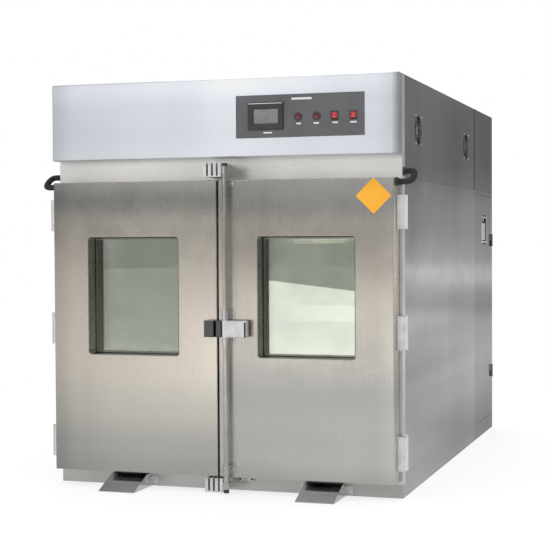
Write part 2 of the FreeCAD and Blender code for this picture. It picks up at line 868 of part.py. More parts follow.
def make_electrics():
    """Deck over the wool and bulkhead behind it, with contactors on a rail."""
    deck = block(
        (-inner_half + s.seat_gap, inner_half - s.seat_gap), (front + s.frame_depth + s.seat_gap, wool_back),
        (wool_top, wool_top + s.sheet_metal),
    )
    wall = block(
        (-inner_half + s.seat_gap, inner_half - s.seat_gap), (wool_back, wool_back + s.sheet_metal),
        (base_top, wool_top + s.sheet_metal),
    )
    holes = back_wall_holes(wool_back - CUT_PAST, s.sheet_metal + 2 * CUT_PAST)
    top = wool_top + s.sheet_metal
    depth = (front + s.wall + s.frame_depth, front + 2 * s.wall)
    rail = block(about(ZERO, s.cabinet_width / 2), depth, (top, top + s.track_height))
    gear = []
    count = 6
    for index in range(count):
        x = (index - (count - 1) / 2) * s.wall
        gear.append(block(
            about(x, s.wall * 0.6), (depth[0] - s.rail_metal, depth[1] + s.rail_metal),
            (top + s.track_height, top + s.wall - s.rail_metal),
        ))
    node("electrical_deck", fuse(cut(fuse(deck, wall), *holes), rail, *gear))


def fan_places():
    return [(front + s.front_fan, "front"), (front + s.rear_fan, "rear")]


def make_fans():
    """Axial fans behind the right panel: frame with struts, guard outside, turning rotor."""
    frames, guards = [], []
    outer_x = (inner_half - s.fan_depth, inner_half)
    shaft = s.fan_hub / 7
    for y, name in fan_places():
        spot = (outer_x[0] - 1, y, fan_height)
        square = block(outer_x, about(y, s.fan_size), about(fan_height, s.fan_size))
        throat = rod("X", spot, s.fan_depth + 2, s.fan_throat)
        strut = (outer_x[0], outer_x[0] + s.rail_metal)
        arms = [
            block(strut, about(y, s.fan_size - 2), about(fan_height, 6)),
            block(strut, about(y, 6), about(fan_height, s.fan_size - 2)),
        ]
        seat = rod("X", (outer_x[0], y, fan_height), s.rail_metal, s.fan_hub)
        bore = rod("X", spot, s.fan_depth, shaft + s.running_gap)
        frames.append(cut(fuse(cut(square, throat), *arms, seat), bore))
        guards.append(fan_guard(y))
        node(f"{name}_fan_rotor", fan_rotor(y, outer_x[0], shaft))
    node("side_fan_frames", group(*frames))
    node("side_fan_guards", group(*guards))


def fan_guard(y):
    """Three wire rings on two crossing bars, with a screw pad at each corner."""
    wire = (half_width, half_width + s.guard_wire)
    rings = []
    for share in GUARD_RINGS:
        radius = s.fan_throat * share
        ring = rod("X", (wire[0], y, fan_height), s.guard_wire, radius + s.guard_wire / 2)
        hole = rod("X", (wire[0] - 1, y, fan_height), s.guard_wire + 2, radius - s.guard_wire / 2)
        rings.append(cut(ring, hole))
    reach = s.fan_size * 105 / 120
    bars = []
    for angle in (45, 135):
        bar = block((ZERO, s.guard_wire), about(ZERO, reach * math.sqrt(2)),
                    about(ZERO, s.guard_wire))
        bar.Placement = FreeCAD.Placement()
        holder = group(shifted(bar, reach))
        holder.Placement = FreeCAD.Placement(FreeCAD.Vector(), FreeCAD.Rotation(AXES["X"], angle))
        bars.append(place(holder, wire[0], y, fan_height))
    pads = [
        rod("X", (wire[0], y + a * reach / 2, fan_height + b * reach / 2), s.guard_wire, 1.5 * s.guard_wire)
        for a in (-1, 1) for b in (-1, 1)
    ]
    return fuse(*rings, *bars, *pads)


def shifted(bar, reach):
    """Centre a guard bar on its own length before it is turned."""
    return place(bar, 0, reach * (-math.sqrt(2) / 2), s.guard_wire / -2)


def fan_rotor(y, start, shaft):
    """Hub with five pitched blades on a short shaft."""
    gap = s.rail_metal + 2
    length = s.fan_depth - s.rail_metal - 4
    hub = rod("X", (gap, 0, 0), length, s.fan_hub)
    pin = rod("X", (0.5, 0, 0), gap, shaft)
    blades = []
    count = 5
    for index in range(count):
        blade = block(about(ZERO, length - 2 * s.rail_metal), about(ZERO, s.sheet_metal),
                      (s.fan_hub - s.sheet_metal, s.fan_throat - s.sheet_metal))
        holder = group(blade)
        turn = FreeCAD.Rotation(AXES["X"], 360 * index / count)
        pitch = FreeCAD.Rotation(AXES["Z"], BLADE_PITCH)
        holder.Placement = FreeCAD.Placement(FreeCAD.Vector(), turn.multiply(pitch))
        blades.append(place(holder, gap + length / 2, 0, 0))
    return place(fuse(hub, pin, *blades), start, y, fan_height)


def wheel_start():
    return baffle_y + s.frame_depth * 0.75


def make_blower():
    """Backward-curved wheel in the plenum, on a long shaft through the back wall."""
    body = make_body("WheelBody")
    plate = body.newObject("PartDesign::Pad", "BackPlate")
    plate.Profile = ring_sketch(body, s.wheel_radius, s.shaft_radius + s.running_gap, 0)
    plate.Reversed = True
    bind(plate, Length=s.rail_metal)
    hub = body.newObject("PartDesign::Pad", "Hub")
    hub.Profile = ring_sketch(body, 2.5 * s.shaft_radius, s.shaft_radius + s.running_gap, 0)
    hub.Reversed = True
    bind(hub, Length=3 * s.shaft_radius)
    blade = body.newObject("PartDesign::Pad", "Blade")
    blade.Profile = blade_sketch(body)
    bind(blade, Length=s.wheel_depth)
    blades = body.newObject("PartDesign::PolarPattern", "Blades")
    blades.Originals = [blade]
    blades.Axis = (plate.Profile[0], ["N_Axis"])
    blades.Angle = 360
    blades.Occurrences = 10
    body.Tip = blades
    shroud = body.newObject("PartDesign::Pad", "Shroud")
    shroud.Profile = ring_sketch(body, s.wheel_radius, s.eye_radius + s.rail_metal, s.wheel_depth)
    shroud.Reversed = True
    bind(shroud, Length=s.rail_metal)
    place(body, 0, wheel_start() + s.wheel_depth, blower_height)
    node("blower_wheel", body)
    start = wheel_start() + s.wheel_depth - s.rail_metal
    node("blower_shaft", rod("Y", (0, start, blower_height), motor_start() + 2 * s.rail_width - start,
                             s.shaft_radius))


def ring_sketch(body, outer, inner, offset):
    """Two circles about the body's own origin, on a plane set forward by an offset."""
    sketch = body.newObject("Sketcher::SketchObject", "Ring")
    plane = [item for item in body.Origin.OriginFeatures if item.Role == "XZ_Plane"][0]
    sketch.AttachmentSupport = [(plane, "")]
    sketch.MapMode = "FlatFace"
    sketch.setExpression("AttachmentOffset.Base.z", words(offset))
    for index, radius in enumerate((outer, inner)):
        centre = FreeCAD.Vector()
        sketch.addGeometry(Part.Circle(centre, AXES["Z"], radius.value), False)
        sketch.addConstraint(Sketcher.Constraint("Coincident", index, 3, -1, 1))
        held = sketch.addConstraint(Sketcher.Constraint("Radius", index, radius.value))
        sketch.setExpression(f"Constraints[{held}]", words(radius))
    return sketch


def blade_sketch(body):
    """A backward-curved blade as a bent strip of four runs between the eye and the rim."""
    first, last = s.eye_radius + 2 * s.rail_metal, s.wheel_radius - s.sheet_metal
    inner_edge, outer_edge = [], []
    steps = 4
    for step in range(steps + 1):
        share = step / steps
        radius = first + (last - first) * share
        angle = math.radians(-34 * share ** 1.2)
        along_x, along_y = math.cos(angle), math.sin(angle)
        inner_edge.append((radius * along_x, radius * along_y))
        outer_edge.append((radius * along_x + s.sheet_metal, radius * along_y - s.sheet_metal))
    return outline(body, "XZ", inner_edge + outer_edge[::-1])


def motor_start():
    return wool_back + 2 * s.wall - 3 * s.sheet_metal


def make_drive():
    """Pedestal with its bearing, and the foot-mounted motor behind it."""
    top = blower_height - s.bearing_height
    depth = (wool_back + 2 * s.rail_width, motor_start() + s.motor_length)
    across = about(ZERO, s.pedestal_width)
    table = block(across, depth, (top - s.rail_metal, top))
    foot = block(across, depth, (base_top, base_top + s.rail_metal))
    webs = [
        block((x, x + s.rail_metal), depth, (base_top, top))
        for x in (across[0] + s.rail_metal, across[1] - 2 * s.rail_metal)
    ]
    bearing_y = (depth[0] + s.rail_metal, depth[0] + s.rail_metal + s.frame_depth)
    shell = rod("Y", (0, bearing_y[0], blower_height), s.frame_depth, 3 * s.shaft_radius)
    stand = block(about(ZERO, 6 * s.shaft_radius), bearing_y, (top, blower_height))
    bore = rod("Y", (0, bearing_y[0] - 1, blower_height), s.frame_depth + 2, s.shaft_radius + s.running_gap)
    node("blower_pedestal", cut(fuse(table, foot, *webs, stand, shell), bore))
    node("blower_motor", make_motor(top))


def make_motor(top):
    """Finned motor with end shields, fan cowl, feet and a terminal box."""
    start = motor_start()
    radius, length = s.motor_radius, s.motor_length
    section = [
        (s.shaft_radius + s.running_gap, 0), (radius * 0.5, 0), (radius * 0.9, 12), (radius * 0.9, length * 0.72),
        (radius, length * 0.74), (radius, length), (radius * 0.6, length + 8), (0, length + 8),
        (0, 3 * s.rail_width), (s.shaft_radius + s.running_gap, 3 * s.rail_width),
    ]
    stator = turned("Stator", section, "Y", (0, start, blower_height))
    fins = []
    count = 8
    for index in range(count):
        fin = block(about(ZERO, s.rail_metal), (start + 24, start + length * 0.7), (radius * 0.8, radius))
        holder = group(fin)
        holder.Placement = FreeCAD.Placement(
            FreeCAD.Vector(), FreeCAD.Rotation(AXES["Y"], 360 * (index + 0.5) / count)
        )
        fins.append(place(holder, 0, 0, blower_height))
    feet = block(about(ZERO, 1.8 * radius), (start + 30, start + length * 0.6), (top, top + 14))
    neck = block(about(ZERO, radius), (start + 30, start + length * 0.6), (top, blower_height - radius / 2))
    terminals = block(
        about(ZERO, radius), (start + 50, start + 50 + radius),
        (blower_height + radius / 2, blower_height + radius * 1.5),
    )
    return fuse(stator, *fins, feet, neck, terminals)


def make_exhaust():
    """Vent pipe from the plenum through the back, with a butterfly damper in its outer end."""
    start = chamber_back
    length = back + s.exhaust_reach - start
    spot = (s.exhaust_x, start, exhaust_height)
    pipe = fuse(
        rod("Y", spot, length - s.spigot_length, s.exhaust_radius), rod("Y", spot, length, s.spigot_radius)
    )
    flange = rod("Y", (s.exhaust_x, back, exhaust_height), s.rail_metal, 1.6 * s.exhaust_radius)
    inner = s.spigot_radius - s.exhaust_metal
    bore = rod("Y", (s.exhaust_x, start - 1, exhaust_height), length + 2, inner)
    damper_y = back + s.exhaust_reach / 4
    spindle = s.rail_metal
    bearing = rod("Z", (s.exhaust_x, damper_y, exhaust_height - 2 * s.exhaust_radius), 4 * s.exhaust_radius,
                  spindle + s.running_gap)
    node("exhaust_port", cut(fuse(pipe, flange), bore, bearing))
    blade_start = (s.exhaust_x, damper_y - s.exhaust_metal / 2, exhaust_height)
    blade = rod("Y", blade_start, s.exhaust_metal, inner - s.seat_gap)
    axle = rod("Z", (s.exhaust_x, damper_y, exhaust_height - s.exhaust_radius - 2), 2.4 * s.exhaust_radius + 2, spindle)
    grip = block(
        about(s.exhaust_x, s.exhaust_radius), about(damper_y, 2 * spindle),
        (exhaust_height + 1.2 * s.exhaust_radius, exhaust_height + 1.6 * s.exhaust_radius),
    )
    node("exhaust_damper", fuse(blade, axle, grip))


def make_service_door():
    """Pan-shaped service door with a dished paddle latch, on two lift-off hinges."""
    y, z = service_span(-s.seam_gap)
    depth = (half_width - s.service_depth, half_width)
    outer = block(depth, y, z)
    hollow = block(
        (depth[0] - CUT_PAST, half_width - s.sheet_metal), grow(y, -s.sheet_metal), grow(z, -s.sheet_metal)
    )
    latch_y = about(back - s.latch_inset, s.latch_width)
    latch_z = about(latch_height, s.latch_tall)
    floor = half_width - s.latch_depth
    dish = block((floor - s.sheet_metal, half_width - s.sheet_metal), grow(latch_y, s.sheet_metal),
                 grow(latch_z, s.sheet_metal))
    recess = block((floor, half_width + CUT_PAST), latch_y, latch_z)
    lock = rod("X", (floor, back - s.latch_inset, latch_z[1] - s.frame_depth / 2), s.latch_depth - 3, 9)
    pivot_x, pivot_z = half_width - s.latch_depth / 2, latch_z[0] + s.latch_tall * 0.7
    bore = rod("Y", (pivot_x, latch_y[0] - 1 - s.sheet_metal, pivot_z), s.latch_width + 2 + 2 * s.sheet_metal,
               3 + s.running_gap)
    opened = cut(fuse(cut(outer, hollow), dish), recess)
    upper = [service_hinge(row)[1] for row in service_hinge_rows()]
    node("service_door", fuse(cut(fuse(opened, lock), bore), *upper))
    paddle = block(
        (pivot_x, pivot_x + s.sheet_metal * 2), grow(latch_y, -6), (latch_z[0] + s.frame_depth / 2, pivot_z)
    )
    pin = rod("Y", (pivot_x, latch_y[0] - s.sheet_metal + s.seat_gap, pivot_z),
              s.latch_width + 2 * s.sheet_metal - 2 * s.seat_gap, 3)
    barrel = rod("Y", (pivot_x, latch_y[0] + 6, pivot_z), s.latch_width - 12, 4.5)
    node("latch_paddle", fuse(paddle, pin, barrel))


def window_blocks(x_margin, y):
    """A block the shape of the window, grown by a margin, with its corners rounded."""
    radius = s.window_corner + x_margin
    return rounded(block(grow(window_x, x_margin), y, grow(window_z, x_margin)), radius, along("Y"))


def make_doors():
    """The right door's pieces, each mirrored for the left one."""
    y = (door_face, door_back - s.door_rim)
    x, z = (door_left, door_right), (door_bottom, door_top)
    outer = rounded(block(x, y, z), s.door_corner, lambda middle, way: middle.y < door_face.value + 1)
    hollow = block(grow(x, -s.sheet_metal), (door_face + s.sheet_metal, y[1] + CUT_PAST), grow(z, -s.sheet_metal))
    frame_out = s.sheet_metal + s.seat_gap
    hole = window_blocks(frame_out, (door_face - CUT_PAST, front + s.plug_depth + CUT_PAST))
    shell = cut(outer, hollow, hole)
    liner = make_door_liner(x, z, hole)
    frame = cut(
        window_blocks(s.sheet_metal, (door_face, front + s.plug_depth)),
        window_blocks(ZERO, (door_face - CUT_PAST, front + s.plug_depth + CUT_PAST)),
    )
    outer_pane = (door_face + s.glass_depth, door_face + s.glass_depth + s.glass_metal)
    inner_pane = (front + s.plug_depth - s.glass_metal, front + s.plug_depth)
    panes = [window_blocks(-s.seat_gap, pane) for pane in (outer_pane, inner_pane)]
    bead_y = (outer_pane[0] - s.rail_metal, outer_pane[0])
    bead = cut(window_blocks(-s.seat_gap, bead_y), window_blocks(-2 * s.rail_metal, grow(bead_y, CUT_PAST)))
    pieces = {
        "door_shell": shell, "door_liner": liner, "window_frame": frame, "door_glass": group(*panes),
        "door_seal": group(make_door_seal(x), bead),
    }
    for name, piece in pieces.items():
        node(f"right_{name}", piece)
        node(f"left_{name}", mirrored(piece))


def make_door_liner(x, z, hole):
    """Inner pan: a flat rim and a hollow plug that enters the chamber mouth."""
    rim = block(x, (door_back - s.door_rim, door_back), z)
    plug_x = (door_left + s.plug_inset, chamber_half - s.plug_clearance)
    plug_z = (door_bottom + s.plug_clearance, chamber_top - s.plug_clearance)
    plug = block(plug_x, (door_back - 1, front + s.plug_depth), plug_z)
    inside = block(
        grow(plug_x, -s.sheet_metal), (door_back - s.door_rim - 1, front + s.plug_depth - s.sheet_metal),
        grow(plug_z, -s.sheet_metal),
    )
    return cut(fuse(rim, plug), inside, hole)


def make_door_seal(x):
    """Flat gasket round the mouth, with a sweep that hangs just below the door."""
    depth = (door_back, front - s.seat_gap)
    outer = block(
        (x[0] + 1, chamber_half + s.seal_width), depth, (door_bottom - s.seam_gap, chamber_top + s.seal_width)
    )
    inner = block(
        (door_left + s.plug_inset - s.seat_gap, chamber_half - s.plug_clearance + s.seat_gap),
        grow(depth, CUT_PAST), (door_bottom + s.plug_clearance - s.seat_gap, chamber_top - s.plug_clearance + s.seat_gap),
    )
    return cut(outer, inner)


def hinge_rows():
    low, high = door_bottom + s.hinge_foot, door_top - s.hinge_head
    return [low + (high - low) * (index / 2) for index in range(3)]


def make_hinges():
    """Three-knuckle hinges: the cabinet leaves carry the pins, the door leaves turn on them."""
    fixed, moving = [], []
    for row in hinge_rows():
        cabinet_half, door_half = make_hinge(row)
        fixed.append(cabinet_half)
        moving.append(door_half)
    right, turning = group(*fixed), group(*moving)
    node("cabinet_hinges", group(right, mirrored(right)))
    node("right_hinge_leaves", turning)
    node("left_hinge_leaves", mirrored(turning))


def make_hinge(row):
    low, high = about(row, s.hinge_height)
    knuckle = s.hinge_height / 4
    centre = (hinge_x, hinge_y)
    reach = s.knuckle_radius + 2 * s.seat_gap
    ends = ((low, low + knuckle), (high - knuckle, high))
    cabinet_half = fuse(
        rod("Z", (*centre, low), s.hinge_height, s.hinge_pin),
        block((half_width, half_width + s.leaf_metal), (hinge_y + reach, front + s.cabinet_leaf), (low, high)),
        *[rod("Z", (*centre, span[0]), knuckle, s.knuckle_radius) for span in ends],
        *[block((half_width, hinge_x), (front, hinge_y + reach), span) for span in ends],
    )
    middle = (low + knuckle + s.seat_gap, high - knuckle - s.seat_gap)
    bore = rod("Z", (*centre, low), s.hinge_height, s.hinge_pin + s.running_gap)
    door_half = cut(
        fuse(
            rod("Z", (*centre, middle[0]), middle[1] - middle[0], s.knuckle_radius),
            block((door_right, half_width + s.leaf_metal), (door_back - s.door_leaf, hinge_y - reach), (low, high)),
            block((half_width, hinge_x), (hinge_y - reach, hinge_y), middle),
        ),
        bore,
    )
    return cabinet_half, door_half


def cam(centre_z):
    """Hooked cam on the rod: a ring, an arm towards the cabinet and a nose to the left."""
    low, high = about(centre_z, s.cam_height)
    x, y = s.rod_x, rod_y
    ring = rod("Z", (x, y, low), s.cam_height, s.cam_ring)
    arm = block(about(x, s.cam_ring), (y, y + s.cam_reach), (low, high))
    nose = block((s.keeper_right + 2 * s.seat_gap, x), (y + s.cam_reach - s.cam_nose, y + s.cam_reach), (low, high))
    return [ring, arm, nose]


def make_lock():
    """Vertical rod with a hooked cam at each end, turned by the lever at its middle."""
    low, high = bottom_cam - s.rod_foot, top_cam + s.rod_head
    shaft = rod("Z", (s.rod_x, rod_y, low), high - low, s.rod_radius)
    node("lock_rod", fuse(shaft, *cam(top_cam), *cam(bottom_cam)))
    node("lock_lever", make_lever())
    node("rod_guides", group(*[make_guide(*spot) for spot in guide_places()]))
    node("rod_keepers", group(make_keeper(top_cam), make_keeper(bottom_cam), make_rest()))
    make_catch()


def make_lever():
    """Hollow pull lever: a cover plate with a returned rim, on a sleeve round the rod."""
    low, high = about(lever_row, s.lever_height)
    bore_radius = s.rod_radius + s.running_gap
    front_y = rod_y - s.cam_ring
    span_y = (front_y, front_y + s.lever_depth)
    x = (s.rod_x, s.rod_x + s.lever_reach)
    cover = rounded(
        block(x, span_y, (low, high)), s.lever_metal * 1.5,
        lambda middle, way: middle.x > s.rod_x.value + 1 and (middle.y < front_y.value + 1 or abs(way.y) > 0.99),
    )
    hollow = block(
        (s.rod_x + s.cam_ring, x[1] - s.lever_metal), (front_y + s.lever_metal, span_y[1] + CUT_PAST),
        grow((low, high), -s.lever_metal),
    )
    sleeve = rod("Z", (s.rod_x, rod_y, low), s.lever_height, s.cam_ring)
    bore = rod("Z", (s.rod_x, rod_y, low - 1), s.lever_height + 2, bore_radius)
    return cut(fuse(cut(cover, hollow), sleeve), bore)


def guide_places():
    """Middle height and length of each guide, from the bottom up."""
    gap = s.seam_gap / 2
    lever_low, lever_high = about(lever_row, s.lever_height)
    short, long_ = s.cam_height, 1.6 * s.cam_height
    return [
        (door_bottom + s.cam_height * 1.4, short * 1.25),
        (lever_low - gap - short / 2, short),
        (lever_high + gap + long_ / 2, long_),
        (door_top - s.seam_gap - short / 2, short),
    ]


def make_guide(centre_z, height):
    """Saddle round the rod on a foot plate that is screwed to the door."""
    low, high = about(centre_z, height)
    outer = s.rod_radius + s.guide_wall
    foot = block(about(s.rod_x, s.guide_width), (door_face - s.guide_metal, door_face), (low, high))
    neck = block(about(s.rod_x, 2 * outer), (rod_y, door_face), (low, high))
    saddle = rod("Z", (s.rod_x, rod_y, low), height, outer)
    bore = rod("Z", (s.rod_x, rod_y, low - 1), height + 2, s.rod_radius + s.running_gap)
    return cut(fuse(foot, neck, saddle), bore)


def make_keeper(centre_z):
    """Keeper for one cam: a back plate with fingers, the right one pierced for the nose."""
    low, high = about(centre_z, s.keeper_height)
    reach = rod_y + s.guide_metal
    left, right = -s.keeper_left, s.keeper_right
    plate = block((left, right), (front - s.rail_metal, front), (low, high))
    shelf = block((left, right), (reach, front), (low, low + s.rail_metal))
    pitch = (right - left - s.keeper_finger) / 3
    fingers = [
        block((left + index * pitch, left + index * pitch + s.keeper_finger), (reach, front), (low, high))
        for index in range(4)
    ]
    slot_y = (rod_y + s.cam_reach - s.cam_nose - 7, rod_y + s.cam_reach + s.rod_radius)
    slot = block(
        (right - s.keeper_finger - 1, right + 1), slot_y, grow(about(centre_z, s.cam_height), s.seam_gap)
    )
    return cut(fuse(plate, shelf, *fingers), slot)


def make_rest():
    """Small channel on the plinth, under the lock side of the right door."""
    x = (s.rest_left, s.rest_left + s.rest_width)
    high = door_bottom - s.rest_drop
    outer = block(x, (front - s.rest_height, front), (high - s.rest_height, high))
    inside = block(
        grow(x, -2 * s.guide_metal), (front - s.rest_height - CUT_PAST, front - s.guide_metal),
        (high - s.rest_height - CUT_PAST, high - s.guide_metal),
    )
    return cut(outer, inside)


def make_catch():
    """Two-part catch housing: the strike box on the left door, the case on the right door."""
    low, high = about(lever_row, s.catch_height)
    y = (door_face - s.catch_out, door_face)
    boxes = {
        "strike_box": (-s.keeper_left + s.guide_metal, -door_left - 1),
        "latch_case": (door_left + 1, s.rod_x - s.cam_ring - 1),
    }
    for name, x in boxes.items():
        shell = rounded(block(x, y, (low, high)), s.guide_metal,
                        lambda middle, way: middle.y < y[0].value + 1)
        inside = block(
            grow(x, -s.guide_metal), (y[0] + s.guide_metal, door_face + CUT_PAST), grow((low, high), -s.guide_metal)
        )
        node(name, cut(shell, inside))


def polygon(centre, radius, sides):
    """Corners of a regular outline about a centre."""
    turns = [2 * math.pi * (index + 0.5) / sides for index in range(sides)]
    return [(centre[0] + radius * math.cos(turn), centre[1] + radius * math.sin(turn)) for turn in turns]


def gland(axis_x, y, z):
    """Hexagon nut and smaller cap that a conduit leaves through."""
    step = s.gland_length * 0.55
    nut = padded("Nut", "YZ", polygon((0, 0), s.gland_radius, 6), step, (axis_x, y, z), False)
    cap = padded("Cap", "YZ", polygon((0, 0), s.gland_radius * 0.85, 6), s.gland_length - step, (axis_x + step, y, z), False)
    return fuse(nut, cap)


def conduit_ends():
    """Where the conduit leaves the cabinet's gland and meets the door's gland."""
    cabinet_end = (half_width + s.gland_length, front + s.conduit_setback, door_top + s.conduit_rise)
    door_end = (door_right + s.gland_length, door_back - s.door_depth / 2, door_top - s.conduit_drop)
    return cabinet_end, door_end


def make_conduits():
    """Flexible conduit from the cabinet to each door, bent in a half circle past the hinge."""
    cabinet_end, door_end = conduit_ends()
    fixed = gland(half_width, *cabinet_end[1:])
    moving = gland(door_right, *door_end[1:])
    inlet = turned(
        "Inlet", [(0, 0), (s.gland_radius, 0), (s.gland_radius * 0.7, 2 * s.gland_length), (0, 2 * s.gland_length)],
        "Y", (-s.exhaust_x, back, 2 * s.wall),
    )
    node("cable_glands", group(fixed, mirrored(fixed), inlet))
    node("right_door_gland", moving)
    node("left_door_gland", mirrored(moving))
    conduit = make_bend(cabinet_end, door_end)
    node("right_conduit", conduit)
    node("left_conduit", mirrored(conduit))


def make_bend(start, end):
    """Tube that leaves both ends along X and turns back in one half circle."""
    rise, depth = start[2] - end[2], start[1] - end[1]
    radius = Dim(math.hypot(rise.value, depth.value) / 2, f"(sqrt({rise.text}^2 + {depth.text}^2) / 2)")
    crown_x = start[0] + s.conduit_run
    bend = make_body("Bend")
    sketch = outline(bend, "YZ", polygon((-radius, ZERO), s.conduit_radius, TUBE_SIDES))
    turn = bend.newObject("PartDesign::Revolution", "HalfTurn")
    turn.Profile = sketch
    turn.ReferenceAxis = (sketch, ["V_Axis"])
    turn.Angle = 180
    upper = padded("Upper", "YZ", polygon((radius, ZERO), s.conduit_radius, TUBE_SIDES), s.conduit_run,
                   (start[0] - crown_x, 0, 0), False)
    lower = padded("Lower", "YZ", polygon((-radius, ZERO), s.conduit_radius, TUBE_SIDES), crown_x - end[0],
                   (end[0] - crown_x, 0, 0), False)
    tube = fuse(bend, upper, lower)
    tube.Placement = FreeCAD.Placement(
        FreeCAD.Vector(), FreeCAD.Rotation(AXES["X"], math.degrees(math.atan2(rise.value, depth.value)))
    )
    tube.setExpression("Placement.Rotation.Angle", f"atan2({rise.text}; {depth.text})")
    return place(tube, crown_x, (start[1] + end[1]) / 2, (start[2] + end[2]) / 2)


def check_and_write():
    """Refuse a failed object or a bad shape, then write one file for each sub-part."""
    doc.recompute()
    for item in doc.Objects:
        for word in ("Invalid", "Error"):
            if word in item.State:
                raise RuntimeError(f"{item.Label} is {item.State}")
    for item in nodes:
        if item.Shape.isNull() or not item.Shape.isValid() or not item.Shape.Solids:
            raise RuntimeError(f"{item.Label} has no valid solid")
    os.makedirs("parts", exist_ok=True)
    for item in nodes:
        item.Shape.exportStep(f"parts/{item.Label}.step")
    print(len(nodes), "sub-parts written")


def make_all():
    make_base()
    make_plinth()
    make_front_frame()
    make_chamber()
    make_insulation()
    make_ducts()
    make_baffle()
    make_heaters()
    make_probe()
    make_tracks()
    make_ramps()
    make_side_panels()
    make_roof_and_rear()
    make_hood()
    make_control_panel()
    make_screen()
    make_lamps()
    make_switches()
    make_electrics()
    make_fans()
    make_blower()
    make_drive()
    make_exhaust()
    make_service_door()
    make_doors()
    make_hinges()
    make_lock()
    make_conduits()
    check_and_write()


make_all()
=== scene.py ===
import json
import math

import bmesh
import bpy
from mathutils import Matrix, Vector


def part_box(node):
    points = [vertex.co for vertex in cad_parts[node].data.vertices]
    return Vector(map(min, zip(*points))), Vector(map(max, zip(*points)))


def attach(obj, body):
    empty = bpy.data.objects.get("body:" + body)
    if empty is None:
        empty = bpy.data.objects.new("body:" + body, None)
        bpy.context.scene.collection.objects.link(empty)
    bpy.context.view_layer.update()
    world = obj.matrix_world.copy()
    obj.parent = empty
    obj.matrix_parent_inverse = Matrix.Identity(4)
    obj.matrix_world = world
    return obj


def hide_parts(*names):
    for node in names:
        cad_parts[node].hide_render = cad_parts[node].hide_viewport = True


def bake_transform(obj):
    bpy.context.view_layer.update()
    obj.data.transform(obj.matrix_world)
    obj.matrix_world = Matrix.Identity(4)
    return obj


bl_info = {
    "name": "Trolley Oven Dressing",
    "version": (1, 0, 0),
    "blender": (4, 5, 0),
    "location": "3D View > Sidebar > Oven",
    "description": "Finishes and fine pieces for a trolley-loading drying oven",
    "category": "Object",
}

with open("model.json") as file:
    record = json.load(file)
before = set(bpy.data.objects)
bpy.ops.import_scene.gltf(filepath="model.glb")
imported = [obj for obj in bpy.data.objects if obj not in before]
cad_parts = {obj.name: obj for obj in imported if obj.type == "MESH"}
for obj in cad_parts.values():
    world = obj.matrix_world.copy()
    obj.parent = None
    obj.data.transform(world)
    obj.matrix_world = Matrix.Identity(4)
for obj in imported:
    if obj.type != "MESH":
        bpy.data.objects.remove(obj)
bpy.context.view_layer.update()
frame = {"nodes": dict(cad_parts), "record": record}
NODES = frame["nodes"]
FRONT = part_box("front_frame")[0].y
DOOR_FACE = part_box("right_door_shell")[0].y
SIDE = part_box("front_frame")[1].x
REAR = 1.014
ROOF = 1.541
SEAM = 1.170
LOWER_JOINTS = (FRONT + 1.190, FRONT + 1.583)
UPPER_JOINT = FRONT + 1.512
HINGE_ROWS = (0.1675, 0.605, 1.043)
ROD_X = 0.040
CONTROL_ROW = 1.394
FAN_ROW = 1.357
FANS = {"front": FRONT + 0.275, "rear": FRONT + 1.292}
FAN_SCREWS = 0.0525
LATCH = (FRONT + 1.784, 0.985)
WINDOW = {"x": 0.342, "z": 0.7335, "width": 0.368, "height": 0.445}
DOORS = {"right": 1, "left": -1}
PLAQUE = (0.597, DOOR_FACE, 1.101)
AIR_STRIP_ROW = 0.9350
GUIDE_SCREW_ROWS = (0.0946, 0.570, 0.6682, 1.153)
KEEPER_ROWS = (0.033, 1.204)
KEEPER_FINGERS = (-0.040, -0.0207, -0.0013, 0.018)
KEEPER_GAPS = (-0.0303, -0.011, 0.0083)
LAMP_COLUMNS = (0.310, 0.380)
ROCKERS = {"power": 0.448, "heat": 0.518}
DOOR_GLAND = (0.672, -1.057, 1.152)
CABINET_GLAND = (SIDE, FRONT + 0.020, 1.191)
EXHAUST = (0.25, 0.9)
EXHAUST_BOLT_RADIUS = 0.0415
SHEET_SCREW = 0.0045
LOUVRE_PITCH = 0.024
RAMPS, RAMP_WIDTH = (-0.377, 0.397), 0.145


# Settings a user would change

class OvenStageSettings(bpy.types.PropertyGroup):
    eye: bpy.props.FloatVectorProperty(
        name="Camera place", description="Where the camera stands, in the oven's own frame",
        size=3, subtype="TRANSLATION", unit="LENGTH", default=(1.80303, -5.98404, 0.95371))
    turn: bpy.props.FloatProperty(
        name="Camera turn", description="Turn of the camera to the left", subtype="ANGLE",
        default=math.radians(17.9008))
    tilt: bpy.props.FloatProperty(
        name="Camera tilt", description="Tilt of the camera upwards", subtype="ANGLE",
        default=math.radians(-1.5421))
    roll: bpy.props.FloatProperty(
        name="Camera roll", description="Roll about the line of sight", subtype="ANGLE",
        default=math.radians(-0.3039))
    lens: bpy.props.FloatProperty(
        name="Focal length", description="Lens on a 36 mm sensor, in millimetres", min=10, default=91.648)
    fill: bpy.props.FloatProperty(
        name="Room light", description="Strength of the room's soft light", min=0, default=1.0)
    key: bpy.props.FloatProperty(
        name="Card light", description="Power of the low card in front, which sets the other lamps too",
        min=0, unit="POWER", default=6.5)
    slant: bpy.props.FloatProperty(
        name="Card slant", description="Slant of the low card's edge, in degrees", default=-6.5)


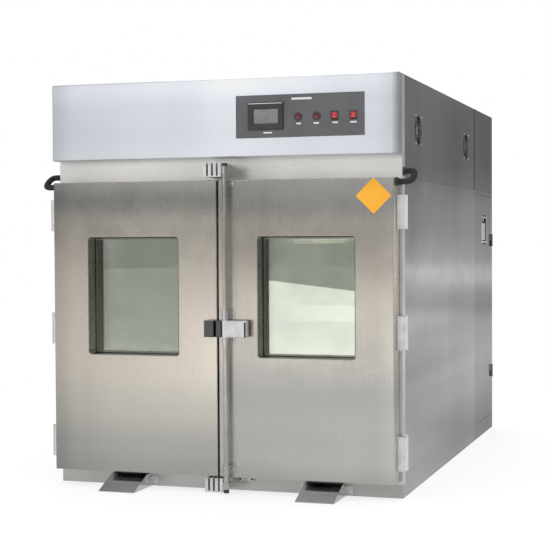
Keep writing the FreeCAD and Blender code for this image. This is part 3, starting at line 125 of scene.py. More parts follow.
class OvenFinishSettings(bpy.types.PropertyGroup):
    door: bpy.props.FloatVectorProperty(
        name="Door steel", description="Colour of the brushed doors", size=3, subtype="COLOR",
        min=0, max=1, default=(0.60, 0.585, 0.56))
    hood: bpy.props.FloatVectorProperty(
        name="Hood", description="Colour of the control hood", size=3, subtype="COLOR",
        min=0, max=1, default=(0.80, 0.81, 0.84))
    body: bpy.props.FloatVectorProperty(
        name="Side steel", description="Colour of the side and back sheets", size=3, subtype="COLOR",
        min=0, max=1, default=(0.50, 0.50, 0.50))
    frame: bpy.props.FloatVectorProperty(
        name="Door frame", description="Colour of the frame round the doors", size=3, subtype="COLOR",
        min=0, max=1, default=(0.92, 0.90, 0.86))
    plate: bpy.props.FloatVectorProperty(
        name="Control plate", description="Colour of the control plate", size=3, subtype="COLOR",
        min=0, max=1, default=(0.115, 0.115, 0.122))
    switch: bpy.props.FloatVectorProperty(
        name="Switch caps", description="Colour of the rocker caps", size=3, subtype="COLOR",
        min=0, max=1, default=(0.55, 0.02, 0.03))
    plaque: bpy.props.FloatVectorProperty(
        name="Door plaque", description="Colour of the blank square on the right door", size=3,
        subtype="COLOR", min=0, max=1, default=(1.0, 0.46, 0.015))


class OvenDetailSettings(bpy.types.PropertyGroup):
    screw: bpy.props.FloatProperty(
        name="Screw head", description="Radius of a guide screw's head", unit="LENGTH", min=0.001, default=0.0045)
    ribs: bpy.props.FloatProperty(
        name="Conduit rib", description="Distance between the conduit's ribs", unit="LENGTH",
        min=0.002, default=0.0046)
    conduit: bpy.props.FloatProperty(
        name="Conduit radius", description="Outer radius of the conduit", unit="LENGTH", min=0.004, default=0.0115)
    wire: bpy.props.FloatProperty(
        name="Guard wire", description="Radius of the fan guard's wire", unit="LENGTH", min=0.0005, default=0.0011)
    plaque: bpy.props.FloatProperty(
        name="Plaque side", description="Side of the blank square on the door", unit="LENGTH",
        min=0.02, default=0.093)


# Mesh tools

def to_object(name, bm, smooth=None):
    """Turn a bmesh into an object, shaded smooth where faces meet under an angle in degrees."""
    bmesh.ops.recalc_face_normals(bm, faces=bm.faces)
    mesh = bpy.data.meshes.new(name)
    bm.to_mesh(mesh)
    bm.free()
    piece = bpy.data.objects.new(name, mesh)
    bpy.context.scene.collection.objects.link(piece)
    if smooth:
        mesh.shade_smooth()
        mesh.set_sharp_from_angle(angle=math.radians(smooth))
    return piece


def fit(name, bm, body, slot, smooth=35, finish=None):
    """Close a piece and give it its body and its finish, which is else the slot's own."""
    piece = to_object(name, bm, smooth)
    piece.data.materials.append(MATERIALS[finish or slot])
    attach(piece, body)
    return piece


def facing(direction, place):
    """A matrix that turns +Z to a direction and moves the origin to a place."""
    turn = Vector(direction).to_track_quat("Z", "Y").to_matrix().to_4x4()
    return Matrix.Translation(place) @ turn


def bridge(bm, rings, capped=True):
    """Join rings of as many corners one to the next, and close the first and the last."""
    for lower, upper in zip(rings, rings[1:]):
        for index in range(len(lower)):
            after = (index + 1) % len(lower)
            bm.faces.new((lower[index], lower[after], upper[after], upper[index]))
    if capped:
        bm.faces.new(rings[0])
        bm.faces.new(rings[-1])


def lathe(bm, profile, matrix=Matrix(), segments=24, shape=None):
    """Turn a profile of (radius, height) round Z. shape(level, angle) may scale a level's radius."""
    rings = []
    for level, (radius, height) in enumerate(profile):
        if radius < 1e-7:
            rings.append([bm.verts.new(matrix @ Vector((0, 0, height)))])
            continue
        ring = []
        for step in range(segments):
            angle = 2 * math.pi * step / segments
            scale = shape(level, angle) if shape else 1
            point = Vector((radius * scale * math.cos(angle), radius * scale * math.sin(angle), height))
            ring.append(bm.verts.new(matrix @ point))
        rings.append(ring)
    for lower, upper in zip(rings, rings[1:]):
        for step in range(segments):
            after = (step + 1) % segments
            corners = [lower[step % len(lower)], lower[after % len(lower)],
                       upper[after % len(upper)], upper[step % len(upper)]]
            corners = list(dict.fromkeys(corners))
            if len(corners) > 2:
                bm.faces.new(corners)
    for ring in (rings[0], rings[-1]):
        if len(ring) > 1:
            bm.faces.new(ring)


def hexagon(angle):
    """Radius factor of a hexagon whose flats touch the unit circle."""
    return 1 / math.cos((angle % (math.pi / 3)) - math.pi / 6)


def socket_screw(bm, place, direction, radius):
    """Round head with a hexagon socket."""
    high = radius * 0.75
    profile = [(radius, 0), (radius, high * 0.45), (radius * 0.86, high * 0.85), (radius * 0.66, high),
               (radius * 0.40, high), (radius * 0.38, high * 0.4), (0, high * 0.35)]
    lathe(bm, profile, facing(direction, place), 24,
          lambda level, angle: hexagon(angle) if level in (4, 5) else 1)


def cross_screw(bm, place, direction, radius):
    """Domed head with a cross recess cut as four sunk wedges."""
    high = radius * 0.55
    profile = [(radius, 0), (radius, high * 0.2), (radius * 0.82, high * 0.72), (radius * 0.55, high),
               (radius * 0.34, high * 0.98), (radius * 0.16, high * 0.25), (0, high * 0.2)]

    def cross(level, angle):
        if level not in (4, 5):
            return 1
        return 0.35 + 0.65 * abs(math.cos(2 * angle)) ** 3

    lathe(bm, profile, facing(direction, place), 24, cross)


def hex_bolt(bm, place, direction, radius):
    """Hexagon head on a flat washer."""
    matrix = facing(direction, place)
    lathe(bm, [(radius * 1.45, 0), (radius * 1.45, radius * 0.16), (0, radius * 0.16)], matrix, 24)
    profile = [(radius, radius * 0.16), (radius, radius * 0.66), (radius * 0.86, radius * 0.8), (0, radius * 0.8)]
    lathe(bm, profile, matrix, 24, lambda level, angle: hexagon(angle) if level < 2 else 1)


def rounded_outline(width, height, corner, steps=5):
    """Corner points of a rounded rectangle, counter-clockwise."""
    points = []
    for index, (sx, sy) in enumerate(((1, 1), (-1, 1), (-1, -1), (1, -1))):
        centre = Vector((sx * (width / 2 - corner), sy * (height / 2 - corner)))
        for step in range(steps + 1):
            angle = math.pi / 2 * (index + step / steps)
            points.append(centre + corner * Vector((math.cos(angle), math.sin(angle))))
    return points


def slab(bm, outline, levels, matrix=Matrix()):
    """Stack shrunken copies of an outline: levels are (inset, height). Both ends are closed."""
    rings = []
    for inset, height in levels:
        ring = []
        for index, point in enumerate(outline):
            before, after = outline[index - 1], outline[(index + 1) % len(outline)]
            way = (after - before).normalized()
            spot = point + Vector((-way.y, way.x)) * inset
            ring.append(bm.verts.new(matrix @ Vector((spot.x, spot.y, height))))
        rings.append(ring)
    bridge(bm, rings)


def prism(bm, points, low, high, matrix=Matrix()):
    """Close a flat outline (u, v) into a prism between two heights."""
    bridge(bm, [[bm.verts.new(matrix @ Vector((u, v, height))) for u, v in points] for height in (low, high)])


def flat_ring(bm, outer, inner, thick, matrix):
    """Flat ring between two outlines, with a rolled outer edge."""
    levels = [(outer, 1, 0.0001), (outer, 1, thick * 0.6), (outer, 0.985, thick), (inner, 1, thick),
              (inner, 1, 0.0001)]
    rings = [[bm.verts.new(matrix @ Vector((p.x * scale, p.y * scale, height))) for p in points]
             for points, scale, height in levels]
    bridge(bm, rings + rings[:1], capped=False)


def block(bm, low, high):
    """Plain box between two corners."""
    corners = [(low[0], low[1]), (high[0], low[1]), (high[0], high[1]), (low[0], high[1])]
    prism(bm, corners, low[2], high[2])


def punched_strip(bm, matrix, count, pitch, high, hole, thick, steps=16):
    """Strip of square cells, each with a round hole through it."""
    for cell in range(count):
        middle = (cell - (count - 1) / 2) * pitch
        layers = []
        for height in (0, thick):
            edge, rim = [], []
            for step in range(steps):
                angle = 2 * math.pi * (step + 0.5) / steps
                way = Vector((math.cos(angle), math.sin(angle)))
                reach = min(pitch / 2 / abs(way.x), high / 2 / abs(way.y))
                for ring, far in ((edge, reach), (rim, hole)):
                    ring.append(bm.verts.new(matrix @ Vector((middle + way.x * far, way.y * far, height))))
            layers += [edge, rim]
        low_edge, low_rim, high_edge, high_rim = layers
        for step in range(steps):
            after = (step + 1) % steps
            for first, second in ((low_edge, low_rim), (low_rim, high_rim), (high_rim, high_edge),
                                  (high_edge, low_edge)):
                bm.faces.new((first[step], first[after], second[after], second[step]))


def sweep(bm, line, radius_at, segments=20):
    """Skin a tube along a line of points. radius_at(distance) gives the radius."""
    tangent = (line[1] - line[0]).normalized()
    side = tangent.orthogonal().normalized()
    distance, rings = 0.0, []
    for index, point in enumerate(line):
        before, after = line[max(index - 1, 0)], line[min(index + 1, len(line) - 1)]
        way = (after - before).normalized()
        side = (tangent.rotation_difference(way) @ side).normalized()
        tangent = way
        other = tangent.cross(side)
        if index:
            distance += (point - before).length if index == 1 else (point - line[index - 1]).length
        radius = radius_at(distance)
        rings.append([bm.verts.new(point + radius * (math.cos(a) * side + math.sin(a) * other))
                      for a in (2 * math.pi * step / segments for step in range(segments))])
    bridge(bm, rings)


def resample(line, pitch):
    """Points at even distances along a line."""
    total = sum((b - a).length for a, b in zip(line, line[1:]))
    count = max(2, round(total / pitch))
    points, index, passed = [line[0]], 0, 0.0
    for step in range(1, count):
        target = total * step / count
        while passed + (line[index + 1] - line[index]).length < target:
            passed += (line[index + 1] - line[index]).length
            index += 1
        share = (target - passed) / (line[index + 1] - line[index]).length
        points.append(line[index].lerp(line[index + 1], share))
    points.append(line[-1])
    return points


def spline_line(name, points):
    """Points along the smooth spline of a route."""
    curve = bpy.data.curves.new(name, "CURVE")
    curve.dimensions = "3D"
    curve.resolution_u = 24
    spline = curve.splines.new("NURBS")
    spline.points.add(len(points) - 1)
    for knot, point in zip(spline.points, points):
        knot.co = (*point, 1)
    spline.order_u = 3
    spline.use_endpoint_u = True
    holder = bpy.data.objects.new(name, curve)
    bpy.context.scene.collection.objects.link(holder)
    mesh = bpy.data.meshes.new_from_object(holder)
    line = [v.co.copy() for v in mesh.vertices]
    bpy.data.objects.remove(holder)
    bpy.data.curves.remove(curve)
    bpy.data.meshes.remove(mesh)
    return line


# Shared shader groups

def shader_group(name, inputs, outputs):
    group = bpy.data.node_groups.new(name, "ShaderNodeTree")
    for label, kind, value in inputs:
        socket = group.interface.new_socket(label, in_out="INPUT", socket_type=kind)
        if value is not None:
            socket.default_value = value
    for label, kind in outputs:
        group.interface.new_socket(label, in_out="OUTPUT", socket_type=kind)
    start = group.nodes.new("NodeGroupInput")
    end = group.nodes.new("NodeGroupOutput")
    return group, start, end


def feed(tree, node, **values):
    """Link each named input to a socket, or set it to a value. An underscore stands for a space."""
    for label, value in values.items():
        socket = node.inputs[label.replace("_", " ")]
        if isinstance(value, bpy.types.NodeSocket):
            tree.links.new(value, socket)
        else:
            socket.default_value = value
    return node


def add(tree, kind, **values):
    """A new shader node with its inputs fed."""
    return feed(tree, tree.nodes.new(f"ShaderNode{kind}"), **values)


def math_node(tree, operation, first, second=None, clamp=False):
    node = add(tree, "Math")
    node.operation = operation
    node.use_clamp = clamp
    for socket, value in zip(node.inputs, (first, second)):
        if value is None:
            continue
        if isinstance(value, (int, float)):
            socket.default_value = value
        else:
            tree.links.new(value, socket)
    return node.outputs[0]


def mix_node(tree, factor, first, second, blend="MIX"):
    """Mix two colours, each a socket or a fixed colour, by a mask or a fixed share."""
    node = add(tree, "Mix")
    node.data_type, node.blend_type = "RGBA", blend
    for label, value in (("Factor", factor), ("A", first), ("B", second)):
        if isinstance(value, bpy.types.NodeSocket):
            tree.links.new(value, node.inputs[label])
        else:
            node.inputs[label].default_value = value if label == "Factor" else (*value, 1)
    return node.outputs["Result"]


def choose(tree, factor, first, second):
    """The second shader where the factor is 1, the first where it is 0."""
    node = add(tree, "MixShader", Fac=factor)
    tree.links.new(first, node.inputs[1])
    tree.links.new(second, node.inputs[2])
    return node.outputs[0]


def ramp_node(tree, value, stops, interpolation="LINEAR"):
    """Tones along a value from 0 to 1: stops are (place, tone or colour)."""
    node = add(tree, "ValToRGB", Fac=value)
    node.color_ramp.interpolation = interpolation
    for index, (place, tone) in enumerate(stops):
        stop = node.color_ramp.elements[index] if index < 2 else node.color_ramp.elements.new(place)
        stop.position = place
        stop.color = (*(tone if isinstance(tone, tuple) else (tone, tone, tone)), 1)
    return node.outputs["Color"]


def scaled(tree, vector, factors):
    """A vector multiplied by fixed factors or by a vector socket."""
    node = add(tree, "VectorMath")
    node.operation = "MULTIPLY"
    tree.links.new(vector, node.inputs[0])
    if isinstance(factors, bpy.types.NodeSocket):
        tree.links.new(factors, node.inputs[1])
    else:
        node.inputs[1].default_value = factors
    return node.outputs[0]


def noise_node(tree, vector, scale, detail=3.0, roughness=0.5):
    return add(tree, "TexNoise", Vector=vector, Scale=scale, Detail=detail, Roughness=roughness).outputs["Fac"]


def make_grain_group():
    """Fine lines drawn out along one axis, and slow clouding of the same sheet."""
    group, start, end = shader_group(
        "Brushed Grain",
        [("Vector", "NodeSocketVector", None), ("Stretch", "NodeSocketVector", (900, 900, 12)),
         ("Cloud Scale", "NodeSocketFloat", 2.2)],
        [("Grain", "NodeSocketFloat"), ("Cloud", "NodeSocketFloat"), ("Smear", "NodeSocketFloat")])
    stretched = scaled(group, start.outputs["Vector"], start.outputs["Stretch"])
    grain = noise_node(group, stretched, 1.0, 4.0, 0.62)
    cloud = noise_node(group, start.outputs["Vector"], start.outputs["Cloud Scale"], 2.0)
    smear = noise_node(group, scaled(group, stretched, (0.06, 0.06, 0.06)), 1.0, 3.0, 0.5)
    feed(group, end, Grain=grain, Cloud=cloud, Smear=smear)
    return group


def make_edge_group():
    """Rounded shading at sharp edges, and a mask that is 1 on them, which paints highlights on metal edges and wear
    on moulded ones.
    """
    group, start, end = shader_group(
        "Edge Wear And Highlight", [("Radius", "NodeSocketFloat", 0.001)],
        [("Edge", "NodeSocketFloat"), ("Normal", "NodeSocketVector")])
    bevel = add(group, "Bevel", Radius=start.outputs["Radius"])
    bevel.samples = 4
    dot = add(group, "VectorMath")
    dot.operation = "DOT_PRODUCT"
    group.links.new(bevel.outputs[0], dot.inputs[0])
    group.links.new(add(group, "NewGeometry").outputs["Normal"], dot.inputs[1])
    missing = math_node(group, "SUBTRACT", 1.0, dot.outputs["Value"])
    feed(group, end, Edge=math_node(group, "MULTIPLY", missing, 6.0, True), Normal=bevel.outputs[0])
    return group


def make_dust_group():
    """Patchy film of dust and hand marks."""
    group, start, end = shader_group(
        "Dust Film", [("Vector", "NodeSocketVector", None), ("Amount", "NodeSocketFloat", 0.5)],
        [("Film", "NodeSocketFloat"), ("Speck", "NodeSocketFloat")])
    broad = noise_node(group, start.outputs["Vector"], 6.0, 6.0, 0.6)
    lifted = math_node(group, "SUBTRACT", broad, 0.45)
    film = math_node(group, "MULTIPLY", math_node(group, "MULTIPLY", lifted, 4.0, True), start.outputs["Amount"])
    fine = noise_node(group, start.outputs["Vector"], 420.0, 2.0, 0.5)
    speck = math_node(group, "MULTIPLY", math_node(group, "SUBTRACT", fine, 0.62), 8.0, True)
    feed(group, end, Film=film, Speck=speck)
    return group


def make_mould_group():
    """Fine pebble of a moulded or painted skin."""
    group, start, end = shader_group(
        "Moulded Skin", [("Vector", "NodeSocketVector", None), ("Scale", "NodeSocketFloat", 1500.0)],
        [("Height", "NodeSocketFloat"), ("Tone", "NodeSocketFloat")])
    pebble = add(group, "TexVoronoi", Vector=start.outputs["Vector"], Scale=start.outputs["Scale"])
    pebble.feature = "SMOOTH_F1"
    tone = noise_node(group, start.outputs["Vector"], 9.0, 4.0, 0.55)
    feed(group, end, Height=pebble.outputs["Distance"], Tone=tone)
    return group


GROUPS = {}


def group_node(tree, name, **values):
    node = add(tree, "Group")
    node.node_tree = GROUPS[name]
    return feed(tree, node, **values)


def new_material(name):
    material = bpy.data.materials.new(name)
    material.use_nodes = True
    tree = material.node_tree
    shader = tree.nodes["Principled BSDF"]
    place = add(tree, "TexCoord").outputs["Object"]
    return material, tree, shader, place


def tinted(tree, colour, amount, mask):
    """The colour mixed with a darker shade of itself by a mask."""
    return mix_node(tree, mask, colour, [c * (1 - amount) for c in colour])


def mixed(tree, first, colour, mask):
    """A colour socket mixed with a fixed colour by a mask."""
    return mix_node(tree, mask, first, colour)


def ranged(tree, value, low, high, out_low, out_high):
    node = add(tree, "MapRange", Value=value, From_Min=low, From_Max=high, To_Min=out_low, To_Max=out_high)
    return node.outputs["Result"]


def bump(tree, height, strength, distance, normal=None):
    node = add(tree, "Bump", Height=height, Strength=strength, Distance=distance)
    if normal is not None:
        feed(tree, node, Normal=normal)
    return node.outputs["Normal"]


def paint_reflection_zones(tree, colour, place, zones):
    """Painted reflections and shade: lighter and darker zones multiplied into a sheet's colour: (axis, where the
    zones set in along X or None, (place, tone) stops).
    """
    split = add(tree, "SeparateXYZ", Vector=place)
    for axis, onset, stops in zones:
        low, high = stops[0][0], stops[-1][0]
        along = ranged(tree, split.outputs[axis], low, high, 0, 1)
        tones = ramp_node(tree, along, [((spot - low) / (high - low), tone) for spot, tone in stops], "EASE")
        share = ranged(tree, split.outputs["X"], *onset, 0, 1) if onset else 1
        colour = mix_node(tree, share, colour, tones, "MULTIPLY")
    return colour


def steel(name, colour, rough=(0.24, 0.36), stretch=(900, 900, 12), cloud=2.2, edge=0.0012, film=0.35,
          clouding=0.10, metallic=1.0, relief=0.10, lines=0.32, anisotropic=0.0, wave=0.0, zones=()):
    """Sheet or bar metal with a drawn-out grain, soft edges with a painted highlight, clouding, painted reflection
    zones, slow waves and a light film.
    """
    material, tree, shader, place = new_material(name)
    grain = group_node(tree, "Brushed Grain", Vector=place, Stretch=stretch, Cloud_Scale=cloud)
    edge_wear_and_sheen = group_node(tree, "Edge Wear And Highlight", Radius=edge)
    dust = group_node(tree, "Dust Film", Vector=place, Amount=film)
    clouded = tinted(tree, colour, clouding * 2, ranged(tree, grain.outputs["Cloud"], 0.35, 0.65, 0, 1))
    smeared = mixed(tree, clouded, [c * 0.86 for c in colour],
                    math_node(tree, "MULTIPLY", ranged(tree, grain.outputs["Smear"], 0.4, 0.7, 0, 1), clouding * 2))
    # Painted reflections and shade from the zone tables go into the colour here.
    lined = mixed(tree, paint_reflection_zones(tree, smeared, place, zones), [c * 0.72 for c in colour],
                  ranged(tree, grain.outputs["Grain"], 0.3, 0.8, 0, lines))
    # Painted highlight: sharp edges lightened in the colour.
    bright = mixed(tree, lined, [min(1, c * 1.25) for c in colour],
                   math_node(tree, "MULTIPLY", edge_wear_and_sheen.outputs["Edge"], 0.6))
    roughness = ranged(tree, grain.outputs["Grain"], 0.25, 0.75, *rough)
    filmed = math_node(tree, "ADD", roughness, math_node(tree, "MULTIPLY", dust.outputs["Film"], 0.16), True)
    normal = edge_wear_and_sheen.outputs["Normal"]
    if wave:
        normal = bump(tree, noise_node(tree, place, 2.6, 2.0, 0.45), 1.0, wave, normal)
    feed(tree, shader, Base_Color=bright, Metallic=metallic, Anisotropic=anisotropic, Roughness=filmed,
         Normal=bump(tree, grain.outputs["Grain"], relief, 0.0002, normal))
    return material


def skin(name, colour, rough=(0.35, 0.5), scale=1500.0, relief=0.15, edge=0.0008, film=0.4, coat=0.0,
         lift=0.5, metallic=0.0):
    """Paint, plastic or rubber with a moulded skin, edges lightened as wear, and a little dust."""
    material, tree, shader, place = new_material(name)
    moulded = group_node(tree, "Moulded Skin", Vector=place, Scale=scale)
    edge_wear_and_sheen = group_node(tree, "Edge Wear And Highlight", Radius=edge)
    dust = group_node(tree, "Dust Film", Vector=place, Amount=film)
    toned = tinted(tree, colour, 0.18, ranged(tree, moulded.outputs["Tone"], 0.3, 0.7, 0, 1))
    lifted = mixed(tree, toned, [c + (0.5 - c) * 0.35 for c in colour],
                   math_node(tree, "MULTIPLY", edge_wear_and_sheen.outputs["Edge"], lift))
    dusty = mixed(tree, lifted, (0.30, 0.29, 0.27), math_node(tree, "MULTIPLY", dust.outputs["Film"], 0.12))
    roughness = ranged(tree, moulded.outputs["Tone"], 0.3, 0.7, *rough)
    filmed = math_node(tree, "ADD", roughness, math_node(tree, "MULTIPLY", dust.outputs["Film"], 0.18), True)
    feed(tree, shader, Base_Color=dusty, Metallic=metallic, Coat_Weight=coat, Coat_Roughness=0.06,
         Roughness=filmed, Normal=bump(tree, moulded.outputs["Height"], relief, 0.0002, edge_wear_and_sheen.outputs["Normal"]))
    return material


def window_glass(name):
    """Mirror-coated heat-proof glass with a grey-green cast and faint wipe marks."""
    material, tree, shader, place = new_material(name)
    film = group_node(tree, "Dust Film", Vector=place, Amount=0.5).outputs["Film"]
    feed(tree, shader, Base_Color=tinted(tree, (0.80, 0.83, 0.755), 0.12, film), Transmission_Weight=1.0,
         Metallic=0.42, IOR=1.5, Roughness=ranged(tree, film, 0, 1, 0.0, 0.04))
    return material


def lens_plastic(name, colour):
    """Tinted clear plastic of an unlit lamp, with moulded facets under the skin."""
    material, tree, shader, place = new_material(name)
    depth = add(tree, "TexVoronoi", Vector=place, Scale=420.0).outputs["Distance"]
    feed(tree, shader, Base_Color=tinted(tree, colour, 0.7, ranged(tree, depth, 0.1, 0.7, 0, 1)), Coat_Weight=1.0,
         Coat_Roughness=0.03, Roughness=0.25, Normal=bump(tree, depth, 0.35, 0.0006))
    return material


def screen_face(name):
    """Unlit panel display: grey glass over a faint cell pattern."""
    material, tree, shader, place = new_material(name)
    cells = add(tree, "TexBrick", Vector=place, Scale=900.0)
    haze = noise_node(tree, place, 14.0, 2.0, 0.5)
    base = tinted(tree, (0.20, 0.21, 0.215), 0.35, ranged(tree, haze, 0.35, 0.65, 0, 1))
    lined = mixed(tree, base, (0.10, 0.105, 0.11), math_node(tree, "MULTIPLY", cells.outputs["Fac"], 0.25))
    feed(tree, shader, Base_Color=lined, Roughness=0.16, Coat_Weight=0.8)
    return material


def wool_slab(name):
    """Pressed mineral wool: long yellow-brown fibres over a layered core."""
    material, tree, shader, place = new_material(name)
    fibres = group_node(tree, "Brushed Grain", Vector=place, Stretch=(140, 140, 900), Cloud_Scale=9.0)
    grain = fibres.outputs["Grain"]
    feed(tree, shader, Base_Color=tinted(tree, (0.50, 0.41, 0.22), 0.4, ranged(tree, grain, 0.3, 0.7, 0, 1)),
         Roughness=0.95, Normal=bump(tree, grain, 0.8, 0.002))
    return material


MATERIALS = {}

# Slow light and dark zones of the big sheets, painted into their colour as reflections and shade, and where along X
# each set of them starts
LEFT, RIGHT, RIGHT_SHEETS = (0.002, -0.002), (-0.002, 0.002), (0.676, 0.680)
DOOR_PAINTED_REFLECTIONS = (
    ("Z", LEFT, ((0.06, 0.82), (0.16, 0.93), (0.30, (1.11, 1.09, 1.02)), (0.47, (1.19, 1.12, 1.02)),
               (0.65, (1.22, 1.13, 1.04)), (0.90, (1.27, 1.19, 1.08)), (1.00, (1.15, 1.10, 1.02)), (1.10, 0.66),
               (1.16, 0.78))),
    ("X", LEFT, ((-0.67, 0.74), (-0.57, 0.94), (-0.40, 1.05), (-0.20, 1.10), (-0.03, 1.17))),
    ("Z", RIGHT, ((0.06, 1.04), (0.14, 1.22), (0.24, 1.15), (0.40, 0.88), (0.55, (1.06, 1.02, 0.95)),
              (0.80, (1.34, 1.26, 1.15)), (0.99, (1.28, 1.21, 1.12)), (1.08, 0.88), (1.16, 0.84))),
    ("X", RIGHT, ((0.03, 1.0), (0.60, 1.0), (0.67, 1.11))),
)
HOOD_PAINTED_REFLECTIONS = (
    ("Z", None, ((1.26, (0.94, 0.96, 0.98)), (1.35, (0.88, 0.90, 0.93)), (1.44, (0.89, 0.91, 0.94)),
              (1.53, (1.02, 1.04, 1.07)))),
    ("X", None, ((-0.68, 0.80), (-0.58, 1.0), (-0.20, 1.16), (0.0, 1.30), (0.60, 1.14), (0.655, 1.04),
                 (0.678, 0.62))),
)
BODY_PAINTED_REFLECTIONS = (
    ("Z", RIGHT_SHEETS, ((0.06, 0.80), (0.16, 1.07), (0.25, 1.26), (0.36, 1.04), (0.46, 0.60), (0.56, 0.54),
                         (0.66, 0.92), (0.74, 1.04), (0.80, 0.84), (0.95, 1.03), (1.12, 1.18), (1.165, 1.10),
                         (1.18, 0.84), (1.36, (0.70, 0.68, 0.64)), (1.50, (0.60, 0.58, 0.55)))),
    ("Y", RIGHT_SHEETS, ((-0.95, 1.22), (-0.60, 1.32), (-0.25, 1.22), (0.05, 1.0), (0.45, 1.02), (0.497, 0.95),
                         (0.51, 0.74), (0.78, 0.62), (0.90, 0.56), (1.0, 0.66))),
)


def make_materials(finish):
    """Every finish of the oven, by its slot in the record."""
    GROUPS["Brushed Grain"] = make_grain_group()
    GROUPS["Edge Wear And Highlight"] = make_edge_group()
    GROUPS["Dust Film"] = make_dust_group()
    GROUPS["Moulded Skin"] = make_mould_group()
    upright, level = (900, 900, 10), (10, 900, 900)
    MATERIALS.update({
        "door_steel": steel("Door steel", finish.door, (0.22, 0.28), upright, 1.6, 0.004, clouding=0.05,
                            relief=0.05, lines=0.12, anisotropic=0.7, wave=0.0004, zones=DOOR_PAINTED_REFLECTIONS),
        "hood_paint": steel("Hood steel", finish.hood, (0.30, 0.42), level, 1.4, 0.0025, clouding=0.04,
                            metallic=0.85, relief=0.06, lines=0.12, zones=HOOD_PAINTED_REFLECTIONS),
        "body_paint": steel("Side steel", finish.body, (0.08, 0.13), upright, 2.0, 0.0012, clouding=0.10,
                            relief=0.02, lines=0.08, wave=0.0012, zones=BODY_PAINTED_REFLECTIONS),
        "frame_paint": steel("Frame steel", finish.frame, (0.24, 0.36), level, 2.4, 0.0015, metallic=0.85),
        "plinth_steel": steel("Plinth steel", (0.62, 0.62, 0.60), (0.24, 0.36), level, 2.4, 0.0015),
        "rod_steel": steel("Rod steel", (0.64, 0.63, 0.60), (0.16, 0.24), (700, 700, 40), 12.0, 0.0008, relief=0.04,
                           lines=0.14),
        "reveal_steel": steel("Reveal steel", (0.24, 0.25, 0.21), (0.20, 0.30), upright, 3.0, 0.0008, relief=0.04),
        "guard_wire": steel("Guard wire", (0.30, 0.30, 0.31), (0.30, 0.40), (90, 90, 90), 20.0, 0.0006, relief=0.04),
        "chamber_steel": steel("Chamber steel", (0.58, 0.60, 0.58), (0.30, 0.42), level, 3.0, 0.0008, film=0.5),
        "ramp_steel": steel("Ramp steel", (0.74, 0.75, 0.76), (0.05, 0.10), (900, 10, 900), 5.0, 0.001,
                            relief=0.03, film=0.25),
        "bright_steel": steel("Bright steel", (0.86, 0.86, 0.85), (0.30, 0.40), (700, 700, 60), 30.0, 0.0014,
                              metallic=0.8, relief=0.05, lines=0.16, film=0.2),
        "hinge_metal": steel("Hinge metal", (0.82, 0.82, 0.80), (0.38, 0.5), (500, 500, 60), 20.0, 0.0016,
                             relief=0.05, lines=0.12, metallic=0.25),
        "galvanised": steel("Zinc sheet", (0.50, 0.52, 0.54), (0.38, 0.55), (90, 90, 90), 25.0, 0.001,
                            clouding=0.2),
        "heater_metal": steel("Heater tube", (0.20, 0.17, 0.15), (0.42, 0.6), (300, 300, 40), 16.0, 0.0008,
                              clouding=0.3),
        "motor_cast": skin("Motor casting", (0.08, 0.15, 0.22), (0.42, 0.55), 700.0, 0.35, metallic=0.0),
        "dark_panel": skin("Control plate", finish.plate, (0.36, 0.46), 2600.0, 0.12, 0.0010),
        "dark_plastic": skin("Dark moulding", (0.035, 0.035, 0.038), (0.38, 0.5), 2200.0, 0.2, 0.0010),
        "gloss_box": skin("Gloss black box", (0.008, 0.009, 0.008), (0.10, 0.16), 500.0, 0.02, 0.002, coat=1.0,
                          lift=0.25),
        "rubber_seal": skin("Black rubber", (0.018, 0.018, 0.018), (0.55, 0.7), 1400.0, 0.3, 0.0006),
        "fan_plastic": skin("Fan moulding", (0.022, 0.022, 0.024), (0.4, 0.52), 1800.0, 0.15, 0.0006),
        "switch_red": skin("Red rocker", finish.switch, (0.16, 0.24), 900.0, 0.03, 0.0010, coat=0.7, lift=0.2),
        "lamp_lens": lens_plastic("Lamp lens", (0.20, 0.01, 0.03)),
        "screen_face": screen_face("Display face"),
        "oven_glass": window_glass("Oven glass"),
        "wool": wool_slab("Mineral wool"),
        "marking": skin("Pale marking", (0.75, 0.75, 0.74), (0.5, 0.6), 2000.0, 0.05, 0.0002, lift=0.0),
        "plaque": skin("Plaque enamel", finish.plaque, (0.28, 0.4), 1200.0, 0.06, 0.0006, film=0.1, lift=0.1),
    })


# Operators, one for each piece or group of like pieces

def settings():
    scene = bpy.context.scene
    return scene.oven_stage, scene.oven_finish, scene.oven_detail


